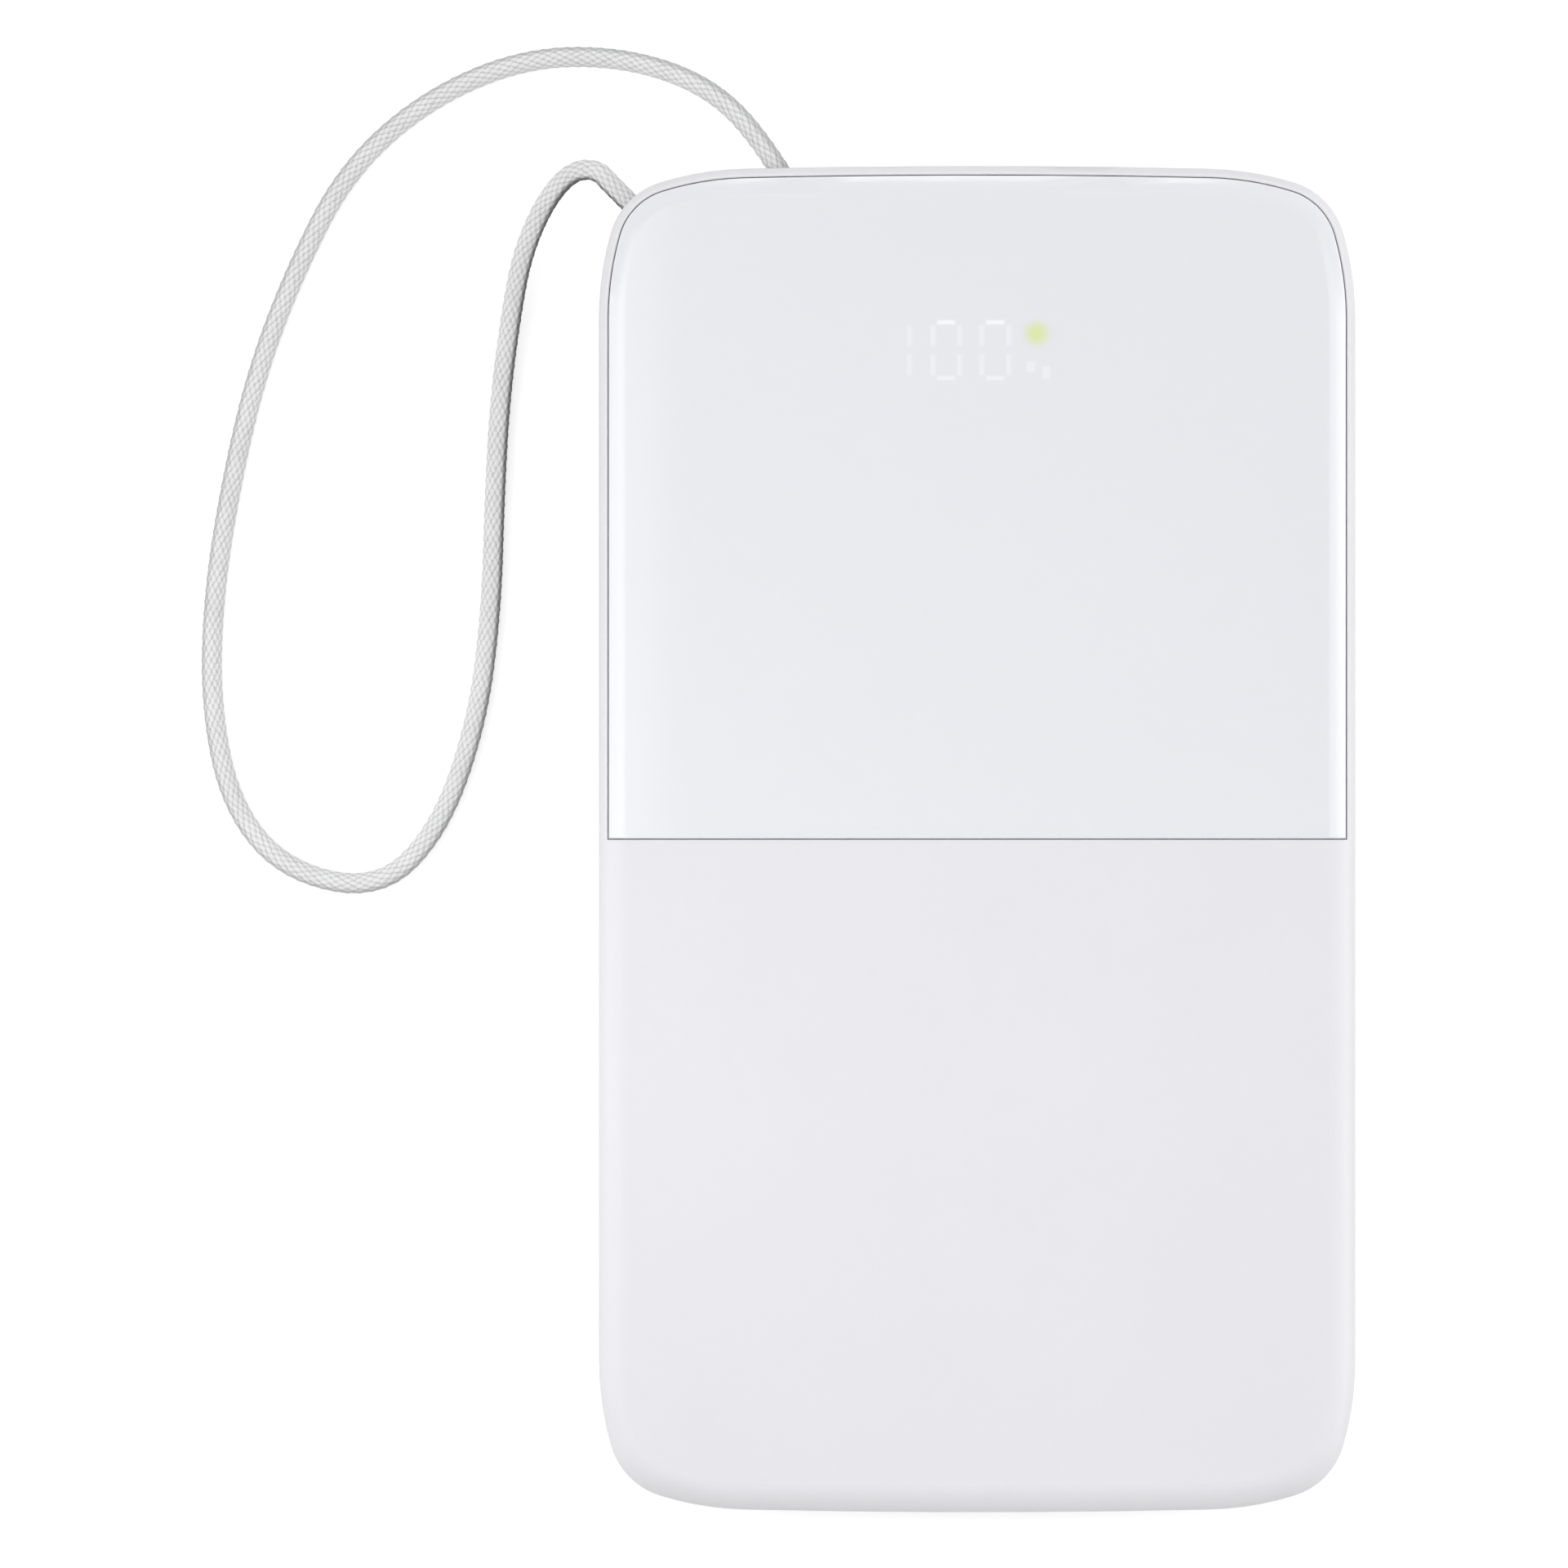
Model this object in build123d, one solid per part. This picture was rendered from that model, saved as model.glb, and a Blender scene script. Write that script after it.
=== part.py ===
"""Slim power bank with a digital charge display and a wrist lanyard.

The bank lies on its back: X runs across it, Y along it towards the end with the ports, and Z up out of
its front face. The origin is the centre of the back face. Everything is in millimetres.

Two moulded shells meet on a plane at mid height. The front one carries a glossy panel over the display
and is held by two screws hidden under that panel. Between the shells lie one pouch cell and a board
with the ports, the display, the side key's switch and the converter. The lanyard is one length of
round cord, crimped at both ends and trapped in the corner of the shells.
"""

from build123d import *
from math import atan2, cos, degrees, pi, radians, sin, sqrt, tan
import os

# Case, overall
CASE_WIDTH = 68.0
CASE_LENGTH = 121.0
CASE_HEIGHT = 16.4
CORNER_RADIUS = 6.6  # tight middle arc of each corner
BLEND_RADIUS = 28.0  # gentle arc on both sides of it
BLEND_ANGLE = 16.0  # degrees that each gentle arc turns
CROWN_ANGLE = 1.3  # degrees that half an end's bow turns
FRONT_EDGE_RADIUS = 2.4
BACK_EDGE_RADIUS = 3.4

# Case walls and the joint between the shells
WALL = 1.8
PARTING_GAP = 0.15
PARTING_CHAMFER = 0.2
LIP_HEIGHT = 1.4
LIP_THICKNESS = 0.7
LIP_CLEARANCE = 0.1

# Glossy panel over the upper half
PANEL_THICKNESS = 1.2
PANEL_SKIRT = 2.3  # how far its rim reaches down from the front face
PANEL_INSET = 0.9  # from the case's outline to the panel's own edge
SEAM_WIDTH = 0.07
PANEL_EDGE_RADIUS = 0.15
RIM_EDGE_RADIUS = 0.15  # the shell's own edge around the panel
ADHESIVE_THICKNESS = 0.15
ADHESIVE_MARGIN = 3.0
DECK_THICKNESS = 1.2  # shell floor under the panel
SKIRT_GAP = 0.12  # under the lower edge of its rim

# Cell and its padding
CELL_WIDTH = 58.0
CELL_LENGTH = 90.6
CELL_THICKNESS = 11.0
CELL_END_GAP = 1.7  # from the shell's lower end wall
CELL_EDGE_RADIUS = 1.6
FOLD_THICKNESS = 0.4
FOLD_HEIGHT = 5.0
TERRACE_LENGTH = 2.6
TERRACE_THICKNESS = 0.3
TERRACE_WIDTH = 50.0
BACK_FOAM_THICKNESS = 0.5
FOAM_WIDTH = 46.0
FOAM_MARGIN = 6.0
TAB_WIDTH = 5.0
TAB_THICKNESS = 0.2
TAB_OFFSET = 14.0
TAB_LANDING = 2.8
TAPE_THICKNESS = 0.08

# Board
BOARD_THICKNESS = 1.2
BOARD_SIDE_GAP = 1.7  # from the shell's side walls
BOARD_LOW_GAP = 0.8  # from the cell's sealed edge
BOARD_TOP_GAP = 1.1  # from the shell's end wall
BOARD_CORNER = 0.6
BOARD_CORNER_RELIEF = 8.6  # below the lanyard's corner hole
STANDOFF_RADIUS = 2.2

# Type A socket
USB_A_X = 15.6
USB_A_OPENING_WIDTH = 12.5
USB_A_OPENING_HEIGHT = 5.1
USB_A_SHEET = 0.3
USB_A_DEPTH = 14.0
USB_A_TONGUE_WIDTH = 11.1
USB_A_TONGUE_THICKNESS = 1.84
USB_A_TONGUE_CLEARANCE = 0.72
USB_A_BASE_DEPTH = 2.4

# Type C socket
USB_C_X = -3.5
USB_C_OPENING_WIDTH = 8.34
USB_C_OPENING_HEIGHT = 2.56
USB_C_SHEET = 0.3
USB_C_DEPTH = 7.3
USB_C_TONGUE_WIDTH = 6.7
USB_C_TONGUE_THICKNESS = 0.7
USB_C_TONGUE_LENGTH = 4.45
USB_C_BASE_DEPTH = 1.2
USB_C_CONTACT_PITCH = 0.5

PORT_RECESS = 0.4  # socket mouths sit this far inside the end of the case
PORT_CLEARANCE = 0.2
LEG_WIDTH = 1.2
LEG_SLOT_CLEARANCE = 0.15

# Side key and its switch
KEY_FROM_END = 18.5
KEY_LENGTH = 11.0
KEY_WIDTH = 3.2
KEY_TRAVEL = 0.25
KEY_CLEARANCE = 0.15
KEY_FLANGE = 0.7
KEY_FLANGE_THICKNESS = 0.6
SWITCH_DEPTH = 2.6
SWITCH_LENGTH = 6.0
SWITCH_HEIGHT = 5.4
PLUNGER_LENGTH = 3.0
PLUNGER_WIDTH = 1.6
PLUNGER_REACH = 0.9
PLUNGER_FLANGE = 0.35
PLUNGER_FLANGE_THICKNESS = 0.3
SWITCH_LID = 0.4
NUB_RADIUS = 0.5
DOME_SEAT = 1.68  # below the switch's front face
DOME_TOUCH_GAP = 0.03
PLUNGER_CLEARANCE = 0.06
DOME_RADIUS = 1.3
DOME_RISE = 0.5
DOME_SHEET = 0.08

# Display
DISPLAY_FROM_END = 16.6
DISPLAY_WIDTH = 16.6
DISPLAY_LENGTH = 8.8
DISPLAY_THICKNESS = 3.2
GASKET_THICKNESS = 0.5
GASKET_WIDTH = 0.8
WINDOW_CLEARANCE = 0.3
DIGIT_HEIGHT = 5.5
DIGIT_WIDTH = 2.9
SEGMENT_WIDTH = 0.5
SEGMENT_GAP = 0.42
SEGMENT_DEPTH = 2.2
SEGMENT_CLEARANCE = 0.03
DIGIT_ONE_X = -6.1
DIGIT_CENTRES = (-2.75, 1.6)
PERCENT_X = 5.15
PERCENT_HEIGHT = 1.8
PERCENT_SLANT = 35.0
PERCENT_STROKE = 0.28
PERCENT_DOT = 0.34
PERCENT_DOT_OFFSET = 0.72
PERCENT_DOT_RISE = 0.5
LED_X = 5.25
LED_RISE = 1.6  # above the display's middle
LED_RADIUS = 0.9
PIN_RADIUS = 0.25
PIN_ROW_SPACING = 7.4
PIN_PITCH = 3.2
PIN_COUNT = 5

# Lanyard
CORD_RADIUS = 0.95
CORD_HOLE_RADIUS = 1.3
FERRULE_RADIUS = 1.7
FERRULE_LENGTH = 3.6
FERRULE_BORE_CLEARANCE = 0.05
FERRULE_BORE_DEPTH = 1.4
CRADLE_LENGTH = 2.2
CRADLE_WIDTH = 5.0
CRADLE_CLEARANCE = 0.05
END_EXIT_FROM_SIDE = 16.3
END_EXIT_SLANT = 30.0  # degrees from square to the end wall
END_FERRULE_SETBACK = 3.1  # from the wall's outer face, along the cord
CORNER_FERRULE_SETBACK = 2.3

# Screws
RIGHT_CASE_SCREW = (5.8, 7.9)  # in from the side and from the end of the case
LEFT_CASE_SCREW = (6.0, 13.9)
BOARD_SCREWS = ((22.6, -2.9), (-20.6, 1.7))  # across, and along from the middle of the display
BOSS_RADIUS = 2.5
BOSS_JOINT_RISE = 2.0  # where the two shells' bosses meet, above mid height
BOSS_JOINT_GAP = 0.05
CASE_SCREW_RADIUS = 1.0
CASE_SCREW_HEAD = 1.8
CASE_SCREW_HEAD_HEIGHT = 0.8
CASE_SCREW_LENGTH = 7.0
BOARD_SCREW_RADIUS = 0.9
BOARD_SCREW_HEAD = 1.7
BOARD_SCREW_HEAD_HEIGHT = 0.8
SCREW_CLEARANCE = 0.15
PILOT_CLEARANCE = 0.02
DRIVE_RADIUS = 0.5
DRIVE_DEPTH = 0.5

# Worked out from the above
MID_Z = CASE_HEIGHT / 2
END_Y = CASE_LENGTH / 2
SIDE_X = CASE_WIDTH / 2
KEY_Y = END_Y - KEY_FROM_END
DISPLAY_Y = END_Y - DISPLAY_FROM_END
CASE_SCREW_AT = (
    (SIDE_X - RIGHT_CASE_SCREW[0], END_Y - RIGHT_CASE_SCREW[1]),
    (LEFT_CASE_SCREW[0] - SIDE_X, END_Y - LEFT_CASE_SCREW[1]),
)
BOARD_SCREW_AT = [(x, DISPLAY_Y + y) for x, y in BOARD_SCREWS]
BOARD_WIDTH = CASE_WIDTH - 2 * (WALL + BOARD_SIDE_GAP)
DECK_TOP = CASE_HEIGHT - PANEL_THICKNESS - ADHESIVE_THICKNESS
DECK_UNDERSIDE = DECK_TOP - DECK_THICKNESS
PANEL_POCKET_FLOOR = CASE_HEIGHT - PANEL_SKIRT - SKIRT_GAP
PANEL_PLUG_INSET = PANEL_INSET + PANEL_THICKNESS
CELL_LOW_Y = -END_Y + WALL + CELL_END_GAP
CELL_HIGH_Y = CELL_LOW_Y + CELL_LENGTH
CELL_LOW_Z = WALL + BACK_FOAM_THICKNESS
CELL_HIGH_Z = CELL_LOW_Z + CELL_THICKNESS
TERRACE_END_Y = CELL_HIGH_Y + TERRACE_LENGTH
USB_A_WIDTH = USB_A_OPENING_WIDTH + 2 * USB_A_SHEET
USB_A_HEIGHT = USB_A_OPENING_HEIGHT + 2 * USB_A_SHEET
USB_C_WIDTH = USB_C_OPENING_WIDTH + 2 * USB_C_SHEET
USB_C_HEIGHT = USB_C_OPENING_HEIGHT + 2 * USB_C_SHEET
BOARD_TOP = MID_Z - USB_A_HEIGHT / 2
BOARD_BOTTOM = BOARD_TOP - BOARD_THICKNESS
BOARD_LOW_Y = TERRACE_END_Y + BOARD_LOW_GAP
BOARD_HIGH_Y = END_Y - WALL - BOARD_TOP_GAP
PORT_MOUTH_Y = END_Y - PORT_RECESS
DISPLAY_TOP = CASE_HEIGHT - PANEL_THICKNESS - GASKET_THICKNESS
DISPLAY_BOTTOM = DISPLAY_TOP - DISPLAY_THICKNESS
SWITCH_FACE_X = SIDE_X - WALL - KEY_CLEARANCE - KEY_FLANGE_THICKNESS - PLUNGER_REACH - 0.55


def block(x, y, z):
    """A box between two values on each axis, given as pairs."""
    size = [high - low for low, high in (x, y, z)]
    middle = [(low + high) / 2 for low, high in (x, y, z)]
    return Pos(*middle) * Box(*size)


def rounded_block(x, y, z, radius, axis=Axis.Z):
    """A box with its edges along one axis rounded."""
    solid = block(x, y, z)
    return fillet(solid.edges().filter_by(axis), radius)


def cylinder(x, y, low, high, radius):
    """An upright cylinder."""
    return Pos(x, y, (low + high) / 2) * Cylinder(radius, high - low)


def slot_prism(width, height, depth, radius):
    """A rounded rectangle in the XZ plane at the origin, extruded towards -Y."""
    return extrude(Plane.XZ * RectangleRounded(width, height, radius), depth)


# ---- Case outline ---------------------------------------------------------------------------------


def quarter_arcs(inset):
    """Arcs of a quarter of the outline, from the middle of an end to the side, as (start, middle, end).

    The chain is a bow across the end, then a gentle, a tight and a gentle arc around the corner. An
    inset outline has the same arc centres and smaller radii, so it is everywhere parallel.
    """
    turn = radians(BLEND_ANGLE)
    bow = radians(CROWN_ANGLE)
    corner_reach = (
        BLEND_RADIUS * (sin(bow + turn) - sin(bow))
        + CORNER_RADIUS * (cos(turn) - sin(bow + turn))
        + BLEND_RADIUS * (1 - cos(turn))
    )
    bow_radius = (SIDE_X - corner_reach) / sin(bow)
    chain = (
        (bow_radius, 0.0, bow),
        (BLEND_RADIUS, bow, bow + turn),
        (CORNER_RADIUS, bow + turn, radians(90) - turn),
        (BLEND_RADIUS, radians(90) - turn, radians(90)),
    )
    x, y = 0.0, END_Y - inset
    arcs = []
    for radius, first, last in chain:
        r = radius - inset
        at = lambda a: (x + r * (sin(a) - sin(first)), y - r * (cos(first) - cos(a)))
        middle, end = at((first + last) / 2), at(last)
        arcs.append(((x, y), middle, end))
        x, y = end
    return arcs


def outline(inset=0.0):
    """The case's plan shape, drawn parallel to itself further in."""
    arcs = quarter_arcs(inset)
    edges = []
    for sx, sy in ((1, 1), (1, -1), (-1, -1), (-1, 1)):
        for points in arcs:
            edges.append(ThreePointArc(*[(sx * px, sy * py) for px, py in points]))
    side_x, side_y = arcs[-1][2]
    for sx in (1, -1):
        edges.append(Line((sx * side_x, side_y), (sx * side_x, -side_y)))
    return make_face(edges)


def slab(inset, low, high):
    """The outline at an inset, between two heights."""
    return Pos(0, 0, low) * extrude(outline(inset), high - low)


def rounded_slab(inset, low, high, low_radius=0.0, high_radius=0.0):
    """The same with its lower and upper rims rounded."""
    solid = slab(inset, low, high)
    if high_radius:
        solid = fillet(solid.faces().sort_by(Axis.Z)[-1].edges(), high_radius)
    if low_radius:
        solid = fillet(solid.faces().sort_by(Axis.Z)[0].edges(), low_radius)
    return solid


def end_wall_y(x):
    """Where the port end's outer face lies at a distance from the middle."""
    (_, start_y), _, (bow_x, bow_y) = quarter_arcs(0.0)[0]
    sag = start_y - bow_y
    bow_radius = (bow_x**2 + sag**2) / (2 * sag)
    return start_y - bow_radius + sqrt(bow_radius**2 - x**2)


# ---- Lanyard: places that the shells need too ------------------------------------------------------


def direction(slant):
    """Unit vector along the cord as it leaves the case, up and to the left."""
    return Vector(-sin(radians(slant)), cos(radians(slant)), 0)


END_EXIT = Vector(END_EXIT_FROM_SIDE - SIDE_X, end_wall_y(END_EXIT_FROM_SIDE - SIDE_X), MID_Z)
END_WAY = direction(END_EXIT_SLANT)
CORNER_EXIT = Vector(-quarter_arcs(0.0)[2][1][0], quarter_arcs(0.0)[2][1][1], MID_Z)
CORNER_WAY = direction(45 + CROWN_ANGLE / 2)
CORD_ENDS = (
    ("end", END_EXIT, END_WAY, END_FERRULE_SETBACK),
    ("corner", CORNER_EXIT, CORNER_WAY, CORNER_FERRULE_SETBACK),
)


def rod(start, way, length, radius):
    """A round bar from a point along a direction."""
    return extrude(Plane(origin=start, z_dir=way) * Circle(radius), length)


def cord_holes():
    """The two slanted holes that the cord leaves by."""
    reach = 2 * WALL
    holes = []
    for _, at, way, setback in CORD_ENDS:
        holes.append(rod(at - way * setback, way, setback + reach, CORD_HOLE_RADIUS))
    return holes


def cradle(low, high):
    """A block across each ferrule, with the ferrule's own round cut out of it."""
    blocks = []
    for _, at, way, setback in CORD_ENDS:
        middle = at - way * (setback + FERRULE_LENGTH / 2)
        seat = Box(CRADLE_WIDTH, CRADLE_LENGTH, high - low)
        seat = Pos(middle.X, middle.Y, (low + high) / 2) * Rot(0, 0, degrees(atan2(way.Y, way.X)) - 90) * seat
        inner_end = at - way * (setback + FERRULE_LENGTH + 1)
        room = rod(inner_end, way, FERRULE_LENGTH + 2, FERRULE_RADIUS + CRADLE_CLEARANCE)
        blocks.append(seat - room)
    return blocks


# ---- Case ------------------------------------------------------------------------------------------


def case_block():
    """The whole outer shape, solid."""
    return rounded_slab(0, 0, CASE_HEIGHT, BACK_EDGE_RADIUS, FRONT_EDGE_RADIUS)


def upper_half(low_y=0.0):
    """Everything on the port side of the seam across the front."""
    return block((-CASE_WIDTH, CASE_WIDTH), (low_y, CASE_LENGTH), (-1, 2 * CASE_HEIGHT))


def above(z):
    return block((-CASE_WIDTH, CASE_WIDTH), (-CASE_LENGTH, CASE_LENGTH), (z, 2 * CASE_HEIGHT))


def below(z):
    return block((-CASE_WIDTH, CASE_WIDTH), (-CASE_LENGTH, CASE_LENGTH), (-CASE_HEIGHT, z))


def port_cuts():
    """Openings for the two sockets, through the end wall."""
    cuts = []
    for x, width, height, radius in (
        (USB_A_X, USB_A_WIDTH, USB_A_HEIGHT, 0.7),
        (USB_C_X, USB_C_WIDTH, USB_C_HEIGHT, USB_C_HEIGHT / 2),
    ):
        grown = 2 * PORT_CLEARANCE
        slot = slot_prism(width + grown, height + grown, 3 * WALL, radius + PORT_CLEARANCE - 0.01)
        cuts.append(Pos(x, END_Y + WALL, MID_Z) * slot)
    return cuts


def key_prism(length, width, x_from, x_to):
    """The side key's racetrack shape, between two distances from the middle of the case."""
    face = Plane.YZ * SlotOverall(length, width)
    return Pos(x_from, KEY_Y, MID_Z) * extrude(face, x_to - x_from)


def key_opening():
    grown = 2 * KEY_CLEARANCE
    return key_prism(KEY_LENGTH + grown, KEY_WIDTH + grown, SIDE_X - 2 * WALL, SIDE_X + WALL)


def on_outline(point, inset=0.0):
    """Whether a point lies above or below the outline at an inset."""
    spot = Vertex(point.X, point.Y, 0)
    return min(e.distance_to(spot) for e in outline(inset).edges()) < 0.01


def softened_parting_edge(shell, z):
    """Breaks the outer edge where one shell meets the other."""
    level = shell.edges().filter_by_position(Axis.Z, z - 0.001, z + 0.001)
    return chamfer([e for e in level if on_outline(e @ 0.5)], PARTING_CHAMFER)


def softened_seam(solid, inset, seam_y, radius):
    """Rounds the front edges along the seam around the panel, on the panel or on the shell."""
    edges = []
    for edge in solid.edges().filter_by_position(Axis.Z, CASE_HEIGHT - PANEL_SKIRT / 2, CASE_HEIGHT):
        ends = (edge @ 0, edge @ 0.5, edge @ 1)
        around = ends[1].Y > seam_y and on_outline(ends[1], inset) and abs(ends[0].Z - ends[2].Z) < 0.001
        across = all(abs(end.Y - seam_y) < 0.001 and end.Z > CASE_HEIGHT - 0.001 for end in ends)
        if around or across:
            edges.append(edge)
    return fillet(edges, radius)


def back_shell():
    """The tub that the bank lies on, with the board's standoffs and the screw bosses."""
    top = MID_Z - PARTING_GAP / 2
    shell = case_block() & below(top)
    shell = softened_parting_edge(shell, top)
    shell -= rounded_slab(WALL, WALL, 2 * CASE_HEIGHT, BACK_EDGE_RADIUS - WALL)
    shell -= slab(LIP_INSET, top - LIP_HEIGHT - LIP_CLEARANCE, 2 * CASE_HEIGHT)
    for x, y in CASE_SCREW_AT:
        shell += cylinder(x, y, WALL - 0.5, MID_Z + BOSS_JOINT_RISE - BOSS_JOINT_GAP, BOSS_RADIUS)
    for x, y in BOARD_SCREW_AT:
        shell += cylinder(x, y, WALL - 0.5, BOARD_BOTTOM, STANDOFF_RADIUS)
    for x in (-BOARD_WIDTH / 2 + 3, BOARD_WIDTH / 2 - 3):
        shell += cylinder(x, BOARD_LOW_Y + 2, WALL - 0.5, BOARD_BOTTOM, STANDOFF_RADIUS / 2)
    for seat in cradle(WALL - 0.5, MID_Z):
        shell += seat
    screw_tip = DECK_TOP - CASE_SCREW_HEAD_HEIGHT - CASE_SCREW_LENGTH
    for x, y in CASE_SCREW_AT:
        shell -= cylinder(x, y, screw_tip - 0.5, CASE_HEIGHT, CASE_SCREW_RADIUS + PILOT_CLEARANCE)
    for x, y in BOARD_SCREW_AT:
        shell -= cylinder(x, y, WALL * 0.6, CASE_HEIGHT, BOARD_SCREW_RADIUS + PILOT_CLEARANCE)
    for cut in port_cuts() + cord_holes() + [key_opening()]:
        shell -= cut
    return shell


LIP_INSET = WALL - LIP_THICKNESS - LIP_CLEARANCE


def display_box(margin, low, high):
    """A box in plan over the display, wider than it by a margin on every side."""
    half_x = DISPLAY_WIDTH / 2 + margin
    half_y = DISPLAY_LENGTH / 2 + margin
    return block((-half_x, half_x), (DISPLAY_Y - half_y, DISPLAY_Y + half_y), (low, high))


def front_shell():
    """The matte front, stepped down under the glossy panel, with the lip that enters the back shell."""
    bottom = MID_Z + PARTING_GAP / 2
    shell = case_block() & above(bottom)
    shell = softened_parting_edge(shell, bottom)
    # room inside: full depth under the matte half, less under the panel's pocket and its floor
    matte_room = rounded_slab(WALL, -1, CASE_HEIGHT - WALL, 0, FRONT_EDGE_RADIUS - WALL)
    shell -= matte_room - upper_half(-DECK_THICKNESS)
    shell -= slab(WALL, -1, PANEL_POCKET_FLOOR - DECK_THICKNESS) & upper_half(-DECK_THICKNESS)
    deck_inset = PANEL_PLUG_INSET + ADHESIVE_THICKNESS + DECK_THICKNESS
    shell -= slab(deck_inset, -1, DECK_UNDERSIDE) & upper_half(-DECK_THICKNESS)
    # the panel's pocket
    pocket = slab(PANEL_INSET - SEAM_WIDTH, PANEL_POCKET_FLOOR, 2 * CASE_HEIGHT) & upper_half(-SEAM_WIDTH / 2)
    plug_radius = PANEL_THICKNESS - ADHESIVE_THICKNESS
    plug_inset = PANEL_PLUG_INSET + ADHESIVE_THICKNESS
    deck = rounded_slab(plug_inset, PANEL_POCKET_FLOOR - 1, DECK_TOP, 0, plug_radius)
    shell -= pocket - deck
    shell = softened_seam(shell, PANEL_INSET - SEAM_WIDTH, -SEAM_WIDTH / 2, RIM_EDGE_RADIUS)
    # lip inside the back shell
    lip = slab(LIP_INSET + LIP_CLEARANCE, bottom - PARTING_GAP - LIP_HEIGHT, bottom + 0.3)
    lip -= slab(WALL, -1, CASE_HEIGHT)
    shell += lip
    for seat in cradle(MID_Z, DECK_UNDERSIDE + 0.5):
        shell += seat
    for x, y in CASE_SCREW_AT:
        shell += cylinder(x, y, MID_Z + BOSS_JOINT_RISE, DECK_UNDERSIDE + 0.5, BOSS_RADIUS)
    # display window, screw seats, sockets, key and cord holes
    shell -= display_box(WINDOW_CLEARANCE, DECK_UNDERSIDE - 1, CASE_HEIGHT)
    seat = DECK_TOP - CASE_SCREW_HEAD_HEIGHT
    for x, y in CASE_SCREW_AT:
        shell -= cylinder(x, y, MID_Z, CASE_HEIGHT, CASE_SCREW_RADIUS + SCREW_CLEARANCE)
        shell -= cylinder(x, y, seat, CASE_HEIGHT, CASE_SCREW_HEAD + SCREW_CLEARANCE)
    for cut in port_cuts() + cord_holes() + [key_opening()]:
        shell -= cut
    return shell


def display_cover():
    """Glossy panel: flat above, rolled down over the case's front edge on three sides."""
    panel = case_block() & above(CASE_HEIGHT - PANEL_SKIRT)
    panel &= slab(PANEL_INSET, 0, 2 * CASE_HEIGHT) & upper_half(SEAM_WIDTH / 2)
    plug = rounded_slab(PANEL_PLUG_INSET, -1, CASE_HEIGHT - PANEL_THICKNESS, 0, PANEL_THICKNESS - 0.2)
    return softened_seam(panel - plug, PANEL_INSET, SEAM_WIDTH / 2, PANEL_EDGE_RADIUS)


def cover_adhesive():
    """Die-cut tape between the panel and the shell, with a window for the display and the screws."""
    inset = PANEL_PLUG_INSET + ADHESIVE_MARGIN
    sheet = slab(inset, DECK_TOP, DECK_TOP + ADHESIVE_THICKNESS) & upper_half(ADHESIVE_MARGIN)
    sheet -= display_box(ADHESIVE_MARGIN / 2, 0, CASE_HEIGHT)
    for x, y in CASE_SCREW_AT:
        sheet -= cylinder(x, y, 0, CASE_HEIGHT, CASE_SCREW_HEAD + 4 * SCREW_CLEARANCE)
    return sheet


# ---- Cell ------------------------------------------------------------------------------------------


def battery_cell():
    """Pouch cell with its folded side seams and the sealed ledge that the tabs come out of."""
    half = CELL_WIDTH / 2
    pouch_half = half - FOLD_THICKNESS
    along = (CELL_LOW_Y, CELL_HIGH_Y)
    thick = (CELL_LOW_Z, CELL_HIGH_Z)
    pouch = rounded_block((-pouch_half, pouch_half), along, thick, CELL_EDGE_RADIUS, Axis.Y)
    middle = (CELL_LOW_Z + CELL_HIGH_Z) / 2
    fold_z = (middle - FOLD_HEIGHT / 2, middle + FOLD_HEIGHT / 2)
    for side in (-1, 1):
        x = sorted((side * (pouch_half - 0.05), side * half))
        pouch += block(x, (CELL_LOW_Y + 1, CELL_HIGH_Y - 1), fold_z)
    ledge_z = (middle - TERRACE_THICKNESS / 2, middle + TERRACE_THICKNESS / 2)
    ledge_x = (-TERRACE_WIDTH / 2, TERRACE_WIDTH / 2)
    return pouch + block(ledge_x, (CELL_HIGH_Y - 0.5, TERRACE_END_Y), ledge_z)


def cell_tab(side):
    """Nickel strip from the cell's ledge, down and onto the board's pad."""
    top = (CELL_LOW_Z + CELL_HIGH_Z + TAB_THICKNESS) / 2
    x = (side * TAB_OFFSET - TAB_WIDTH / 2, side * TAB_OFFSET + TAB_WIDTH / 2)
    knee = BOARD_LOW_Y - TAB_THICKNESS - 0.1
    strip = block(x, (TERRACE_END_Y, knee + TAB_THICKNESS), (top - TAB_THICKNESS, top))
    strip += block(x, (knee, knee + TAB_THICKNESS), (BOARD_TOP, top))
    return strip + block(x, (knee, BOARD_LOW_Y + TAB_LANDING), (BOARD_TOP, BOARD_TOP + TAB_THICKNESS))


def terrace_tape():
    """Amber tape along the sealed ledge."""
    top = (CELL_LOW_Z + CELL_HIGH_Z) / 2 + TERRACE_THICKNESS / 2
    half = TERRACE_WIDTH / 2 - 2
    return block((-half, half), (CELL_HIGH_Y + 0.1, TERRACE_END_Y - 0.3), (top, top + TAPE_THICKNESS))


def cell_back_foam():
    half = FOAM_WIDTH / 2
    return block((-half, half), (CELL_LOW_Y + FOAM_MARGIN, CELL_HIGH_Y - FOAM_MARGIN), (WALL, CELL_LOW_Z))


def cell_front_foam():
    """Two pads, thicker where the front shell has no step."""
    half = FOAM_WIDTH / 2
    low = block((-half, half), (CELL_LOW_Y + FOAM_MARGIN, -FOAM_MARGIN), (CELL_HIGH_Z, CASE_HEIGHT - WALL))
    high = block((-half, half), (FOAM_MARGIN, CELL_HIGH_Y - FOAM_MARGIN), (CELL_HIGH_Z, DECK_UNDERSIDE))
    return [low, high]


# ---- Board -----------------------------------------------------------------------------------------


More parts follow.
